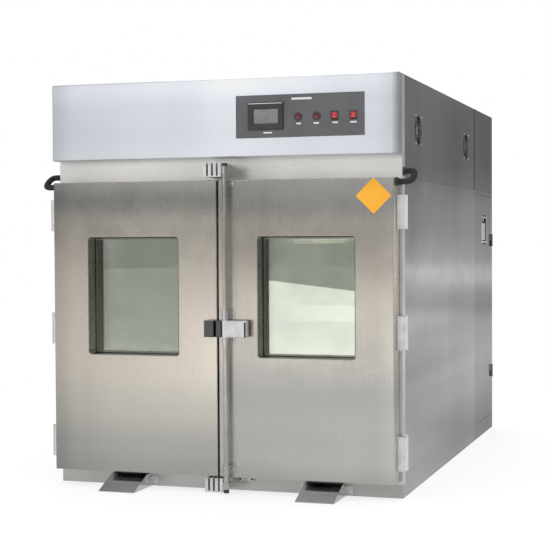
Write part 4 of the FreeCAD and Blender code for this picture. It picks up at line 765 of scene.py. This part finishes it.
class OvenStage(bpy.types.Operator):
    """Camera, floor, lamps and room light"""
    bl_idname = "oven.stage"
    bl_label = "Set the stage"

    def execute(self, context):
        stage, _, _ = settings()
        self.camera(stage)
        self.floor()
        self.room(stage)
        self.lamps(stage)
        context.scene.view_settings.view_transform = "Standard"
        return {"FINISHED"}

    def camera(self, stage):
        data = bpy.data.cameras.new("Front view")
        data.lens, data.sensor_width = stage.lens, 36
        data.clip_end = 100
        camera = bpy.data.objects.new("Front view", data)
        bpy.context.scene.collection.objects.link(camera)
        camera.matrix_world = (
            Matrix.Translation(stage.eye) @ Matrix.Rotation(stage.turn, 4, "Z")
            @ Matrix.Rotation(math.pi / 2 + stage.tilt, 4, "X") @ Matrix.Rotation(stage.roll, 4, "Z"))
        bpy.context.scene.camera = camera

    def floor(self):
        """Pale floor that fades to white away from the oven and keeps its soft shadow."""
        bm = bmesh.new()
        bmesh.ops.create_circle(bm, cap_ends=True, segments=64, radius=40,
                                matrix=Matrix.Translation((0, 0, -0.0006)))
        floor = to_object("studio_floor", bm)
        material = bpy.data.materials.new("Studio floor")
        material.use_nodes = True
        tree = material.node_tree
        shader = feed(tree, tree.nodes["Principled BSDF"], Base_Color=(0.93, 0.93, 0.93, 1), Roughness=0.7)
        rays = add(tree, "LightPath")
        spot = add(tree, "TexCoord").outputs["Object"]
        reach = add(tree, "VectorMath")
        reach.operation = "LENGTH"
        tree.links.new(spot, reach.inputs[0])
        distance = reach.outputs["Value"]
        seen = math_node(tree, "MAXIMUM", rays.outputs["Is Camera Ray"], rays.outputs["Is Transmission Ray"])
        mirrored = rays.outputs["Is Glossy Ray"]
        along = add(tree, "SeparateXYZ", Vector=spot)
        shade = ramp_node(tree, ranged(tree, along.outputs["Y"], -20, 40, 0, 1),
                          [(0.0, 0.30), (0.13, 0.34), (0.20, 0.42), (0.25, 0.70), (0.30, 0.62), (0.32, 0.6),
                           (0.35, 0.42), (0.375, 0.5), (0.44, 0.72), (0.50, 0.66), (0.55, 0.42), (0.65, 0.48),
                           (0.77, 0.75), (1.0, 0.8)])
        tone = math_node(tree, "MULTIPLY", mirrored, shade)
        lit = math_node(tree, "MULTIPLY", seen, ranged(tree, distance, 1.6, 3.0, 1.08, 1))
        glow = add(tree, "Emission", Strength=math_node(tree, "ADD", lit, tone))
        away = math_node(tree, "MULTIPLY", seen, ranged(tree, distance, 1.6, 3.0, 0.7, 1))
        mix = choose(tree, math_node(tree, "MAXIMUM", away, mirrored), shader.outputs[0], glow.outputs[0])
        feed(tree, tree.nodes["Material Output"], Surface=mix)
        floor.data.materials.append(material)

    def room(self, stage):
        """White to the camera, a banded hall to polished metal, soft daylight to everything else."""
        world = bpy.data.worlds.new("Studio room")
        bpy.context.scene.world = world
        world.use_nodes = True
        tree = world.node_tree
        soft = feed(tree, tree.nodes["Background"], Color=(0.97, 0.98, 1.0, 1), Strength=stage.fill)
        white = add(tree, "Background", Color=(1, 1, 1, 1))
        way = add(tree, "TexCoord").outputs["Generated"]
        split = add(tree, "SeparateXYZ", Vector=way)
        height = ranged(tree, split.outputs["Z"], -1, 1, 0, 1)
        front = ramp_node(tree, height, [(0.0, 0.3), (0.49, 0.3), (0.5, 0.3), (0.515, 0.26), (0.62, 0.20),
                                         (0.8, 0.4), (1.0, 0.8)])
        behind = ramp_node(tree, height, [(0.0, 0.5), (0.49, 0.55), (0.5, 0.40), (0.512, 0.34), (0.525, 0.27),
                                          (0.6, 0.25), (0.85, 0.45), (1.0, 0.8)])
        walls = mix_node(tree, ranged(tree, split.outputs["Y"], -0.3, 0.3, 0, 1), front, behind)
        bays = ranged(tree, noise_node(tree, scaled(tree, way, (26, 4, 9)), 1.0, 2.0, 0.5), 0.42, 0.58, 0.72, 1.22)
        hall = add(tree, "Background", Color=mix_node(tree, 1, walls, bays, "MULTIPLY"))
        rays = add(tree, "LightPath")
        seen = math_node(tree, "MAXIMUM", rays.outputs["Is Camera Ray"], rays.outputs["Is Transmission Ray"])
        first = choose(tree, rays.outputs["Is Glossy Ray"], soft.outputs[0], hall.outputs[0])
        feed(tree, tree.nodes["World Output"], Surface=choose(tree, seen, first, white.outputs[0]))

    def lamps(self, stage):
        """Soft cards that the front mirrors, and weak lamps from the side, back and top."""
        glow = stage.key
        places = [
            ("Low card", (-0.35, -4.63, 0.21), (-0.35, -1.0, 0.21), 2.3, 0.78, glow * 0.74),
            ("Strip card", (-0.60, -4.60, 0.47), (-0.60, -1.0, 0.47), 0.48, 0.10, glow * 0.004),
            ("Low card left", (-3.55, -4.3, 0.42), (-0.4, -1.0, 0.42), 2.3, 0.9, glow * 0.95),
            ("High card", (-1.3, -4.63, 2.0), (0.0, -1.0, 1.45), 5.4, 1.25, glow * 3.0),
            ("Side lamp", (4.2, 0.6, 1.6), (0.7, 0.2, 0.7), 1.8, 2.0, glow * 2.4),
            ("Back lamp", (-1.0, 3.6, 3.2), (0.0, 0.4, 0.9), 2.5, 1.6, glow * 5),
            ("Top lamp", (0.3, -0.6, 4.2), (0.0, -0.4, 0.8), 3.0, 3.0, glow * 5),
        ]
        for name, place, aim, width, height, power in places:
            lamp = self.lamp(name, facing(Vector(place) - Vector(aim), place), width, height, power)
            if name == "Low card":
                lamp.matrix_world @= Matrix.Rotation(math.radians(stage.slant), 4, "Z")
        self.chamber_lamps()

    def lamp(self, name, matrix, width, height, power, colour=(1, 1, 1)):
        """Soft rectangular lamp that the camera doesn't see."""
        data = bpy.data.lights.new(name, "AREA")
        data.shape = "RECTANGLE"
        data.size, data.size_y = width, height
        data.energy, data.color = power, colour
        lamp = bpy.data.objects.new(name, data)
        bpy.context.scene.collection.objects.link(lamp)
        lamp.matrix_world = matrix
        lamp.visible_camera = False
        return lamp

    def chamber_lamps(self):
        """The oven's own light in the chamber roof, and a weak one over the punched strip."""
        low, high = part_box("chamber_liner")
        roof = Matrix.Translation((0, low.y + 0.45, high.z - 0.03))
        self.lamp("Chamber light", roof, 0.7, 0.5, 1.3, (1.0, 0.99, 0.93))
        wall = facing((0, -1, 0.5), (0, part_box("plenum_baffle")[0].y - 0.10, 0.985))
        strip = self.lamp("Chamber strip light", wall, 0.19, 0.02, 2.2, (1.0, 0.93, 0.86))
        strip.visible_glossy = strip.visible_transmission = False


class OvenFinishes(bpy.types.Operator):
    """Give every solid of the model its finish"""
    bl_idname = "oven.finishes"
    bl_label = "Finish the solids"

    def execute(self, context):
        make_materials(settings()[1])
        for row in frame["record"]["subparts"]:
            self.finish(row["node"], row["material_slot"])
        for node, finish in (("left_window_frame", "reveal_steel"), ("right_window_frame", "reveal_steel"),
                             ("plinth_front", "plinth_steel"), ("lock_rod", "rod_steel"),
                             ("rod_guides", "rod_steel")):
            self.finish(node, finish)
        return {"FINISHED"}

    def finish(self, node, finish):
        piece = NODES[node]
        for slot in piece.material_slots:
            slot.material = MATERIALS[finish]
        if not piece.material_slots:
            piece.data.materials.append(MATERIALS[finish])


class OvenDoorTrim(bpy.types.Operator):
    """Meeting seal, window trims, the square plaque and the chamber's punched air strip"""
    bl_idname = "oven.door_trim"
    bl_label = "Trim the doors"

    def execute(self, context):
        low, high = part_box("right_door_shell")
        bm = bmesh.new()
        half = 0.0022
        profile = [(-half, 0), (half, 0), (half, 0.028), (half * 0.6, 0.034), (0, 0.036), (-half * 0.6, 0.034),
                   (-half, 0.028)]
        turn = Matrix(((1, 0, 0, -0.0006), (0, -1, 0, high.y - 0.006), (0, 0, 1, 0), (0, 0, 0, 1)))
        prism(bm, profile, low.z + 0.004, high.z - 0.004, turn)
        fit("meeting_seal", bm, "left_door", "rubber_seal")
        side = settings()[2].plaque
        turned = facing((0, -1, 0), PLAQUE) @ Matrix.Rotation(math.radians(45), 4, "Z")
        bm = bmesh.new()
        slab(bm, rounded_outline(side, side, 0.004), [(0, 0), (0, 0.0006), (0.0003, 0.0008)], turned)
        fit("square_plaque", bm, "right_door", "switch_red", smooth=40, finish="plaque")
        for name, side in DOORS.items():
            self.glazing_trim(side, name)
        self.air_strip()
        return {"FINISHED"}

    def glazing_trim(self, side, name):
        """Folded steel ring that holds the glass and leaves a thin line of its rubber."""
        wide, tall, line, ring = WINDOW["width"], WINDOW["height"], 0.0018, 0.0082
        bm = bmesh.new()
        flat_ring(bm, rounded_outline(wide - 2 * line, tall - 2 * line, 0.0085),
                  rounded_outline(wide - 2 * ring, tall - 2 * ring, 0.004), 0.0015,
                  facing((0, -1, 0), (side * WINDOW["x"], DOOR_FACE + 0.0605, WINDOW["z"])))
        fit(f"{name}_glazing_trim", bm, f"{name}_door", "door_steel", smooth=40, finish="rod_steel")

    def air_strip(self):
        """Punched strip over a dark sheet painted as the shade of the air slot behind it, high on the wall at the
        back of the chamber.
        """
        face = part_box("plenum_baffle")[0].y
        place = (0.050, face, AIR_STRIP_ROW)
        bm = bmesh.new()
        punched_strip(bm, facing((0, -1, 0), place) @ Matrix.Translation((0, 0, 0.0022)), 14, 0.021, 0.020, 0.0060,
                      0.0012)
        fit("punched_air_strip", bm, "cabinet", "bright_steel", smooth=30, finish="hinge_metal")
        bm = bmesh.new()
        # Painted shade: a dark sheet where the air slot's shadowed opening would be.
        slab(bm, rounded_outline(0.294, 0.020, 0.0004), [(0, 0.0001), (0, 0.0006)], facing((0, -1, 0), place))
        fit("air_slot_painted_shade", bm, "cabinet", "dark_plastic", smooth=None)


class OvenLock(bpy.types.Operator):
    """Screws of the rod guides and keepers, rod end caps and the dark strip of painted shade at the lever's end"""
    bl_idname = "oven.lock"
    bl_label = "Fit the lock hardware"

    def execute(self, context):
        radius = settings()[2].screw
        bm = bmesh.new()
        for z in GUIDE_SCREW_ROWS:
            for x in (ROD_X - 0.0208, ROD_X + 0.0208):
                socket_screw(bm, (x, DOOR_FACE - 0.003, z), (0, -1, 0), radius)
        fit("guide_screws", bm, "right_door", "bright_steel", smooth=30)
        self.lever()
        self.rod_ends()
        self.keeper_posts()
        self.rest_pad()
        return {"FINISHED"}

    def lever(self):
        """Dark strip with a raised lip at the pulled end of the lever, painted shade standing in for a groove there,
        with a stop ball at its foot.
        """
        low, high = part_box("lock_lever")
        x = high.x - 0.008
        bm = bmesh.new()
        matrix = facing((0, -1, 0), (x, low.y + 0.0003, (low.z + high.z) / 2))
        slab(bm, rounded_outline(0.007, high.z - low.z - 0.012, 0.003), [(0, -0.002), (0, 0.0006), (0.001, 0.0012)],
             matrix)
        lathe(bm, [(0, -0.004), (0.003, -0.003), (0.0042, 0), (0.003, 0.003), (0, 0.0042)],
              facing((0, -1, 0), (x, low.y, low.z + 0.006)), 16)
        fit("lever_end_painted_shade", bm, "door_lock", "dark_plastic", smooth=40)

    def rod_ends(self):
        low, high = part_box("lock_rod")
        rod = Vector((ROD_X, FRONT - 0.110, 0))
        bm = bmesh.new()
        for z, way in ((low.z + 0.0005, 1), (high.z - 0.0005, -1)):
            lathe(bm, [(0.0102, 0), (0.0102, 0.012), (0.0096, 0.013), (0.0094, 0.013), (0.0094, 0)],
                  facing((0, 0, way), rod + Vector((0, 0, z))), 32)
        fit("rod_end_caps", bm, "door_lock", "dark_plastic")

    def rest_pad(self):
        """Black wear pad laid over the small channel under the right door."""
        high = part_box("rod_keepers")[1]
        x = high.x - 0.0265
        bm = bmesh.new()
        outline = [(-0.026, 0), (0.026, 0), (0.026, 0.0145), (0.020, 0.0145), (0.020, 0.002), (-0.020, 0.002),
                   (-0.020, 0.0145), (-0.026, 0.0145)]
        matrix = Matrix(((1, 0, 0, x), (0, 0, -1, FRONT - 0.0202), (0, -1, 0, 0.0572), (0, 0, 0, 1)))
        prism(bm, outline, 0, 0.0012, matrix)
        fit("rest_pad", bm, "cabinet", "dark_plastic")

    def keeper_posts(self):
        """Dark pads between the keeper's fingers and a rivet on each finger."""
        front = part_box("rod_keepers")[0].y
        bm = bmesh.new()
        rivets = bmesh.new()
        for z in KEEPER_ROWS:
            for x in KEEPER_FINGERS:
                lathe(rivets, [(0.0028, 0), (0.0024, 0.0008), (0.0012, 0.0013), (0, 0.0014)],
                      facing((0, -1, 0), (x, front, z + 0.018)), 16)
            for x in KEEPER_GAPS:
                matrix = facing((0, -1, 0), (x, FRONT - 0.004, z + 0.002))
                slab(bm, rounded_outline(0.0065, 0.040, 0.001), [(0, -0.001), (0, 0.060), (0.001, 0.061)], matrix)
        fit("keeper_pads", bm, "cabinet", "dark_plastic")
        fit("keeper_rivets", rivets, "cabinet", "bright_steel")


class OvenHinges(bpy.types.Operator):
    """Bright covers over the door leaves, and screws in the cabinet's leaves, of all six hinges"""
    bl_idname = "oven.hinges"
    bl_label = "Dress the hinges"

    def execute(self, context):
        cabinet = bmesh.new()
        for name, side in DOORS.items():
            covers = bmesh.new()
            for z in HINGE_ROWS:
                self.cover(covers, side, z)
                for step in (-0.040, 0, 0.040):
                    cross_screw(cabinet, (side * 0.689, FRONT + 0.030, z + step), (side, 0, 0), 0.0042)
            fit(f"{name}_hinge_covers", covers, f"{name}_door", "hinge_metal")
        fit("cabinet_hinge_screws", cabinet, "cabinet", "bright_steel")
        return {"FINISHED"}

    def cover(self, bm, side, z):
        """Folded plate: a rimmed field in front, and a wall along the outside of the leaf."""
        half, width = 0.0615, 0.0295
        levels = [(0, 0), (0, 0.0014), (0.0004, 0.0018), (0.0032, 0.0018), (0.0036, 0.0003)]
        slab(bm, rounded_outline(width, 2 * half, 0.004), levels,
             facing((0, -1, 0), (side * (0.6735 + width / 2), -1.0571, z)))
        points = [(side * 0.7018, -1.0571), (side * 0.7030, -1.0566), (side * 0.7030, -1.0285),
                  (side * 0.7018, -1.0280)]
        prism(bm, points, z - half + 0.002, z + half - 0.002)


class OvenConduits(bpy.types.Operator):
    """Ribbed conduits from the cabinet to the doors, and their ribbed gland nuts"""
    bl_idname = "oven.conduits"
    bl_label = "Run the conduits"

    def execute(self, context):
        for name, side in DOORS.items():
            self.conduit(side, name)
            self.gland(f"{name}_gland_nut", f"{name}_door", DOOR_GLAND, side)
            self.gland(f"{name}_cabinet_nut", "cabinet", CABINET_GLAND, side)
        return {"FINISHED"}

    def conduit(self, side, name):
        detail = settings()[2]
        route = [Vector((side * x, y, z)) for x, y, z in (
            (0.6930, -0.9940, 1.1910), (0.7150, -0.9900, 1.1935), (0.7295, -1.0040, 1.1850),
            (0.7295, -1.0450, 1.1595), (0.7140, -1.0600, 1.1500), (0.6810, -1.0570, 1.1520))]
        line = resample(spline_line(f"{name}_route", route), detail.ribs / 6)
        bm = bmesh.new()
        sweep(bm, line, lambda d: detail.conduit * (0.93 + 0.06 * math.cos(2 * math.pi * d / detail.ribs)), 24)
        tube = to_object(f"{name}_ribbed_conduit", bm, 80)
        tube.data.materials.append(MATERIALS["rubber_seal"])
        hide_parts(f"{name}_conduit")
        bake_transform(tube)

    def gland(self, name, body, place, side):
        bm = bmesh.new()
        profile = [(0.0142, 0.0001), (0.0142, 0.0046), (0.0136, 0.0052), (0.0126, 0.0053), (0.0126, 0.0080),
                   (0.0118, 0.0089), (0.0106, 0.0089), (0.0106, 0.0001)]
        matrix = facing((side, 0, 0), (side * place[0], place[1], place[2]))
        lathe(bm, profile, matrix, 24, lambda level, angle: hexagon(angle) if level < 3 else 1)
        fit(name, bm, body, "dark_plastic", smooth=30)


class OvenControls(bpy.types.Operator):
    """Lamp rings, switch marks, plain caption bars and a pale strip painted as a highlight along the display's frame
    """
    bl_idname = "oven.controls"
    bl_label = "Fit the controls"

    def execute(self, context):
        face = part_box("control_panel")[0].y
        self.lamp_rings(face)
        self.rocker_marks()
        self.captions(face)
        self.bezel_painted_highlight()
        return {"FINISHED"}

    def lamp_rings(self, face):
        bm = bmesh.new()
        for x in LAMP_COLUMNS:
            lathe(bm, [(0.0150, 0.0002), (0.0154, 0.0010), (0.0150, 0.0032), (0.0132, 0.0040), (0.0112, 0.0036),
                       (0.0112, 0.0022)],
                  facing((0, -1, 0), (x, face, CONTROL_ROW)), 40)
        fit("lamp_rings", bm, "cabinet", "dark_plastic")

    def rocker_marks(self):
        """The usual stroke and ring of an on and off switch, on each cap."""
        for name, x in ROCKERS.items():
            bm = bmesh.new()
            tilt = Matrix.Rotation(math.radians(-8), 4, "X")
            base = Matrix.Translation((x, -1.075, CONTROL_ROW)) @ tilt
            upper, lower = (base @ Matrix.Translation((0, -0.00462, way * 0.0060))
                            @ Matrix.Rotation(math.radians(90 - way * 15.2), 4, "X") for way in (1, -1))
            slab(bm, rounded_outline(0.0012, 0.0052, 0.0004, 2), [(0, -0.0003), (0, 0.0001)], upper)
            lathe(bm, [(0.0026, -0.0003), (0.0026, 0.0001), (0.0017, 0.0001), (0.0017, -0.0003)], lower, 24)
            fit(f"{name}_switch_marks", bm, f"{name}_switch", "switch_red", smooth=None, finish="marking")

    def captions(self, face):
        bm = bmesh.new()
        bars = [(0.323, 1.460, 0.078, 0.0075), (0.193, 1.3385, 0.034, 0.0055), (0.312, 1.369, 0.018, 0.006),
                (0.379, 1.369, 0.021, 0.006), (0.450, 1.369, 0.022, 0.006), (0.519, 1.369, 0.024, 0.006)]
        for x, z, width, height in bars:
            slab(bm, rounded_outline(width, height, height * 0.35, 3), [(0, -0.0001), (0, 0.0002)],
                 facing((0, -1, 0), (x, face, z)))
        fit("caption_bars", bm, "cabinet", "dark_panel", smooth=None, finish="marking")

    def bezel_painted_highlight(self):
        low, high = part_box("screen_bezel")
        bm = bmesh.new()
        # Painted highlight: a pale strip along the top of the display's frame.
        slab(bm, rounded_outline(high.x - low.x - 0.006, 0.0022, 0.001, 3), [(0, -0.0002), (0, 0.0003)],
             facing((0, -1, 0), ((low.x + high.x) / 2, low.y, high.z - 0.0035)))
        fit("bezel_highlight", bm, "cabinet", "dark_panel", smooth=None, finish="marking")


class OvenSideFans(bpy.types.Operator):
    """Round-wire guards, bladed rotors and their screws for both side fans"""
    bl_idname = "oven.side_fans"
    bl_label = "Fit the side fans"

    def execute(self, context):
        bm = bmesh.new()
        for name, y in FANS.items():
            self.guard(bm, Vector((SIDE, y, FAN_ROW)))
            self.rotor(name, Vector((0, y, FAN_ROW)))
        guard = fit("wire_guards", bm, "cabinet", "bright_steel", smooth=60, finish="guard_wire")
        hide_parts("side_fan_guards")
        screws = bmesh.new()
        for y in FANS.values():
            for a in (-FAN_SCREWS, FAN_SCREWS):
                for b in (-FAN_SCREWS, FAN_SCREWS):
                    cross_screw(screws, (SIDE + 0.0022, y + a, FAN_ROW + b), (1, 0, 0), 0.0040)
        fit("guard_screws", screws, "cabinet", "bright_steel")
        return {"FINISHED"}

    def guard(self, bm, centre):
        wire = settings()[2].wire
        for radius in (0.014, 0.027, 0.040, 0.053):
            ring = [centre + Vector((wire, radius * math.cos(a), radius * math.sin(a)))
                    for a in (2 * math.pi * step / 48 for step in range(49))]
            sweep(bm, ring, lambda d: wire, 8)
        for step in range(4):
            angle = math.radians(45 + 90 * step)
            way = Vector((0, math.cos(angle), math.sin(angle)))
            line = [centre + Vector((wire * 0.3, 0, 0)) + way * r for r in (0.010, 0.03, 0.055, 0.068)]
            sweep(bm, line, lambda d: wire, 8)
            lathe(bm, [(0.0058, 0), (0.0058, 0.0018), (0.0052, 0.0022), (0, 0.0022)],
                  facing((1, 0, 0), centre + way * 0.0742), 20)

    def rotor(self, name, centre):
        """Moulded hub with seven curved blades that rise from it."""
        node = f"{name}_fan_rotor"
        low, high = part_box(node)
        start = Vector((low.x + 0.0055, centre.y, centre.z))
        depth = high.x - start.x - 0.001
        bm = bmesh.new()
        lathe(bm, [(0.0209, 0), (0.0209, depth - 0.003), (0.0195, depth), (0.0185, depth), (0.018, depth - 0.001),
                   (0, depth - 0.001)], facing((1, 0, 0), start), 40)
        count, across, along = 7, 7, 5
        for blade in range(count):
            grid = []
            for i in range(across + 1):
                u = i / across
                row = []
                for j in range(along + 1):
                    v = j / along
                    radius = 0.020 + (0.0545 - 0.020) * v
                    sweep_angle = (u - 0.5) * (0.74 - 0.12 * v) + v * 0.30
                    angle = 2 * math.pi * blade / count + sweep_angle
                    x = 0.004 + (depth - 0.008) * (u ** 0.85)
                    row.append(Vector((start.x + x, centre.y + radius * math.cos(angle),
                                       centre.z + radius * math.sin(angle))))
                grid.append(row)
            self.sheet(bm, grid, 0.0011)
        rotor = fit(f"{name}_bladed_rotor", bm, f"{name}_fan", "fan_plastic", smooth=45)
        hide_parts(node)
        cap = bmesh.new()
        lathe(cap, [(0.0165, 0), (0.0165, 0.0007), (0.0155, 0.0010), (0, 0.0010)],
              facing((1, 0, 0), (start.x + depth - 0.0012, centre.y, centre.z)), 36)
        fit(f"{name}_hub_disc", cap, f"{name}_fan", "hinge_metal")

    def sheet(self, bm, grid, thick):
        """Thicken a grid of points into a closed blade."""
        rows, columns = len(grid), len(grid[0])
        sides = []
        for shift in (-0.5, 0.5):
            layer = []
            for i in range(rows):
                line = []
                for j in range(columns):
                    a = grid[min(i + 1, rows - 1)][j] - grid[max(i - 1, 0)][j]
                    b = grid[i][min(j + 1, columns - 1)] - grid[i][max(j - 1, 0)]
                    line.append(bm.verts.new(grid[i][j] + a.cross(b).normalized() * thick * shift))
                layer.append(line)
            sides.append(layer)
        for layer in sides:
            for i in range(rows - 1):
                for j in range(columns - 1):
                    bm.faces.new((layer[i][j], layer[i + 1][j], layer[i + 1][j + 1], layer[i][j + 1]))
        rim = ([(i, 0) for i in range(rows)] + [(rows - 1, j) for j in range(1, columns)]
               + [(i, columns - 1) for i in range(rows - 2, -1, -1)] + [(0, j) for j in range(columns - 2, 0, -1)])
        for (i, j), (k, l) in zip(rim, rim[1:] + rim[:1]):
            bm.faces.new((sides[0][i][j], sides[0][k][l], sides[1][k][l], sides[1][i][j]))


class OvenServiceHatch(bpy.types.Operator):
    """Rolled frame of the latch recess and key barrel"""
    bl_idname = "oven.service_hatch"
    bl_label = "Dress the service hatch"

    def execute(self, context):
        y, z = LATCH
        bm = bmesh.new()
        outer, inner = rounded_outline(0.126, 0.154, 0.008), rounded_outline(0.112, 0.140, 0.002)
        matrix = facing((1, 0, 0), (SIDE, y, z)) @ Matrix.Rotation(math.radians(90), 4, "Z")
        flat_ring(bm, outer, inner, 0.0022, matrix)
        fit("latch_surround", bm, "service_hatch", "bright_steel", smooth=40)
        barrel = bmesh.new()
        lathe(barrel, [(0.0086, 0), (0.0086, 0.0008), (0.0080, 0.0013), (0.0022, 0.0013), (0.0020, 0.0002),
                       (0, 0.0002)],
              facing((1, 0, 0), (SIDE - 0.003, y, z + 0.050)), 32,
              lambda level, angle: (0.35 + 0.65 * abs(math.cos(angle)) ** 4) if level in (3, 4) else 1)
        fit("key_barrel", barrel, "service_hatch", "bright_steel")
        return {"FINISHED"}


class OvenLouvres(bpy.types.Operator):
    """Pressed hoods over the air slots of the back and the left side"""
    bl_idname = "oven.louvres"
    bl_label = "Press the louvres"

    def execute(self, context):
        bm = bmesh.new()
        for step in range(-4, 5):
            self.hood(bm, facing((0, 1, 0), (0, REAR - 0.0002, 0.58 + step * LOUVRE_PITCH)), 0.300)
        for step in range(-2, 3):
            place = (-SIDE + 0.0002, FANS["front"], FAN_ROW + step * LOUVRE_PITCH)
            self.hood(bm, facing((-1, 0, 0), place), 0.150)
        fit("pressed_louvres", bm, "cabinet", "body_paint", smooth=40)
        return {"FINISHED"}

    def hood(self, bm, matrix, width):
        """Curved lip over one slot: open below, closed at its ends."""
        if (matrix @ Vector((0, 1, 0)) - matrix @ Vector()).z < 0:
            matrix = matrix @ Matrix.Rotation(math.pi, 4, "Z")
        rows, thick = [], 0.0010
        for end in (-0.5, -0.47, -0.40, 0.40, 0.47, 0.5):
            swell = {0.5: 0.0, 0.47: 0.75, 0.40: 1.0}[abs(end)]
            outer = [(0.0075, 0.0), (0.0065, 0.0022 * swell), (0.0025, 0.0052 * swell), (-0.0035, 0.0068 * swell)]
            rows.append([matrix @ Vector((end * width, v, h + 0.0002)) for v, h in outer]
                        + [matrix @ Vector((end * width, v - thick * 0.2, max(h - thick, 0.0001)))
                           for v, h in reversed(outer)])
        bridge(bm, [[bm.verts.new(point) for point in row] for row in rows])


class OvenPanelScrews(bpy.types.Operator):
    """Screws along the edges of the back sheet, and round the exhaust flange"""
    bl_idname = "oven.panel_screws"
    bl_label = "Screw the sheets"

    def execute(self, context):
        bm = bmesh.new()
        for z in [0.05 + 0.206 * i for i in range(8)]:
            for x in (-0.668, 0.668):
                cross_screw(bm, (x, REAR, z), (0, 1, 0), SHEET_SCREW)
        for x in [-0.45 + 0.225 * i for i in range(5)]:
            for z in (0.022, 1.520):
                cross_screw(bm, (x, REAR, z), (0, 1, 0), SHEET_SCREW)
        for step in range(4):
            angle = math.radians(45 + 90 * step)
            place = (EXHAUST[0] + EXHAUST_BOLT_RADIUS * math.cos(angle), REAR + 0.004,
                     EXHAUST[1] + EXHAUST_BOLT_RADIUS * math.sin(angle))
            hex_bolt(bm, place, (0, 1, 0), 0.0036)
        fit("panel_screws", bm, "cabinet", "bright_steel")
        self.joints()
        return {"FINISHED"}

    def joints(self):
        """Dark strips in the gaps between the side sheets, partly sealing and partly painted shade for the shadow in
        the gaps, and a cover strip over the upper joint.
        """
        bm = bmesh.new()
        above = SEAM + 0.004
        joints = [(y, 0.002, SEAM) for y in LOWER_JOINTS] + [(UPPER_JOINT, above, ROOF)]
        for side in (-1, 1):
            inner, outer = sorted((side * (SIDE - 0.0018), side * (SIDE - 0.0003)))
            block(bm, (inner, FRONT + 0.041, SEAM + 0.0001), (outer, REAR - 0.0025, SEAM + 0.0019))
            for y, low, high in joints:
                block(bm, (inner, y + 0.0001, low), (outer, y + 0.0019, high))
            inner, outer = sorted((side * (SIDE + 0.0001), side * (SIDE + 0.0007)))
            block(bm, (inner, UPPER_JOINT - 0.0055, above), (outer, UPPER_JOINT + 0.0075, ROOF))
        fit("panel_joints", bm, "cabinet", "rubber_seal", smooth=None)


class OvenRamps(bpy.types.Operator):
    """Angle brackets and bolts that hold the ramps to the plinth"""
    bl_idname = "oven.ramps"
    bl_label = "Bolt the ramps"

    def execute(self, context):
        bm = bmesh.new()
        for centre in RAMPS:
            for side in (-1, 1):
                x = centre + side * (RAMP_WIDTH / 2 + 0.0002)
                points = [(0, 0), (0.026, 0), (0.026, 0.003), (0.003, 0.003), (0.003, 0.026), (0, 0.026)]
                matrix = Matrix(((side, 0, 0, x), (0, -1, 0, FRONT), (0, 0, 1, 0.008), (0, 0, 0, 1)))
                prism(bm, points, 0, 0.028, matrix)
                hex_bolt(bm, (x + side * 0.015, FRONT - 0.003, 0.022), (0, -1, 0), 0.0045)
        fit("ramp_brackets", bm, "cabinet", "bright_steel")
        return {"FINISHED"}


OPERATORS = (
    OvenStage, OvenFinishes, OvenDoorTrim, OvenLock, OvenHinges, OvenConduits, OvenControls,
    OvenSideFans, OvenServiceHatch, OvenLouvres, OvenPanelScrews, OvenRamps,
)


class OvenPanel(bpy.types.Panel):
    """The oven's settings and its steps in order"""
    bl_idname = "VIEW3D_PT_oven"
    bl_label = "Trolley Oven"
    bl_space_type = "VIEW_3D"
    bl_region_type = "UI"
    bl_category = "Oven"

    def draw(self, context):
        for group in settings():
            box = self.layout.box()
            for word in group.bl_rna.properties.keys():
                if word not in ("rna_type", "name"):
                    box.prop(group, word)
        for operator in OPERATORS:
            self.layout.operator(operator.bl_idname)


CLASSES = (OvenStageSettings, OvenFinishSettings, OvenDetailSettings, *OPERATORS, OvenPanel)


def register():
    for item in CLASSES:
        bpy.utils.register_class(item)
    bpy.types.Scene.oven_stage = bpy.props.PointerProperty(type=OvenStageSettings)
    bpy.types.Scene.oven_finish = bpy.props.PointerProperty(type=OvenFinishSettings)
    bpy.types.Scene.oven_detail = bpy.props.PointerProperty(type=OvenDetailSettings)


def unregister():
    for word in ("oven_stage", "oven_finish", "oven_detail"):
        delattr(bpy.types.Scene, word)
    for item in reversed(CLASSES):
        bpy.utils.unregister_class(item)


def main():
    register()
    for operator in OPERATORS:
        family, name = operator.bl_idname.split(".")
        getattr(getattr(bpy.ops, family), name)()


if __name__ == "__main__":
    main()
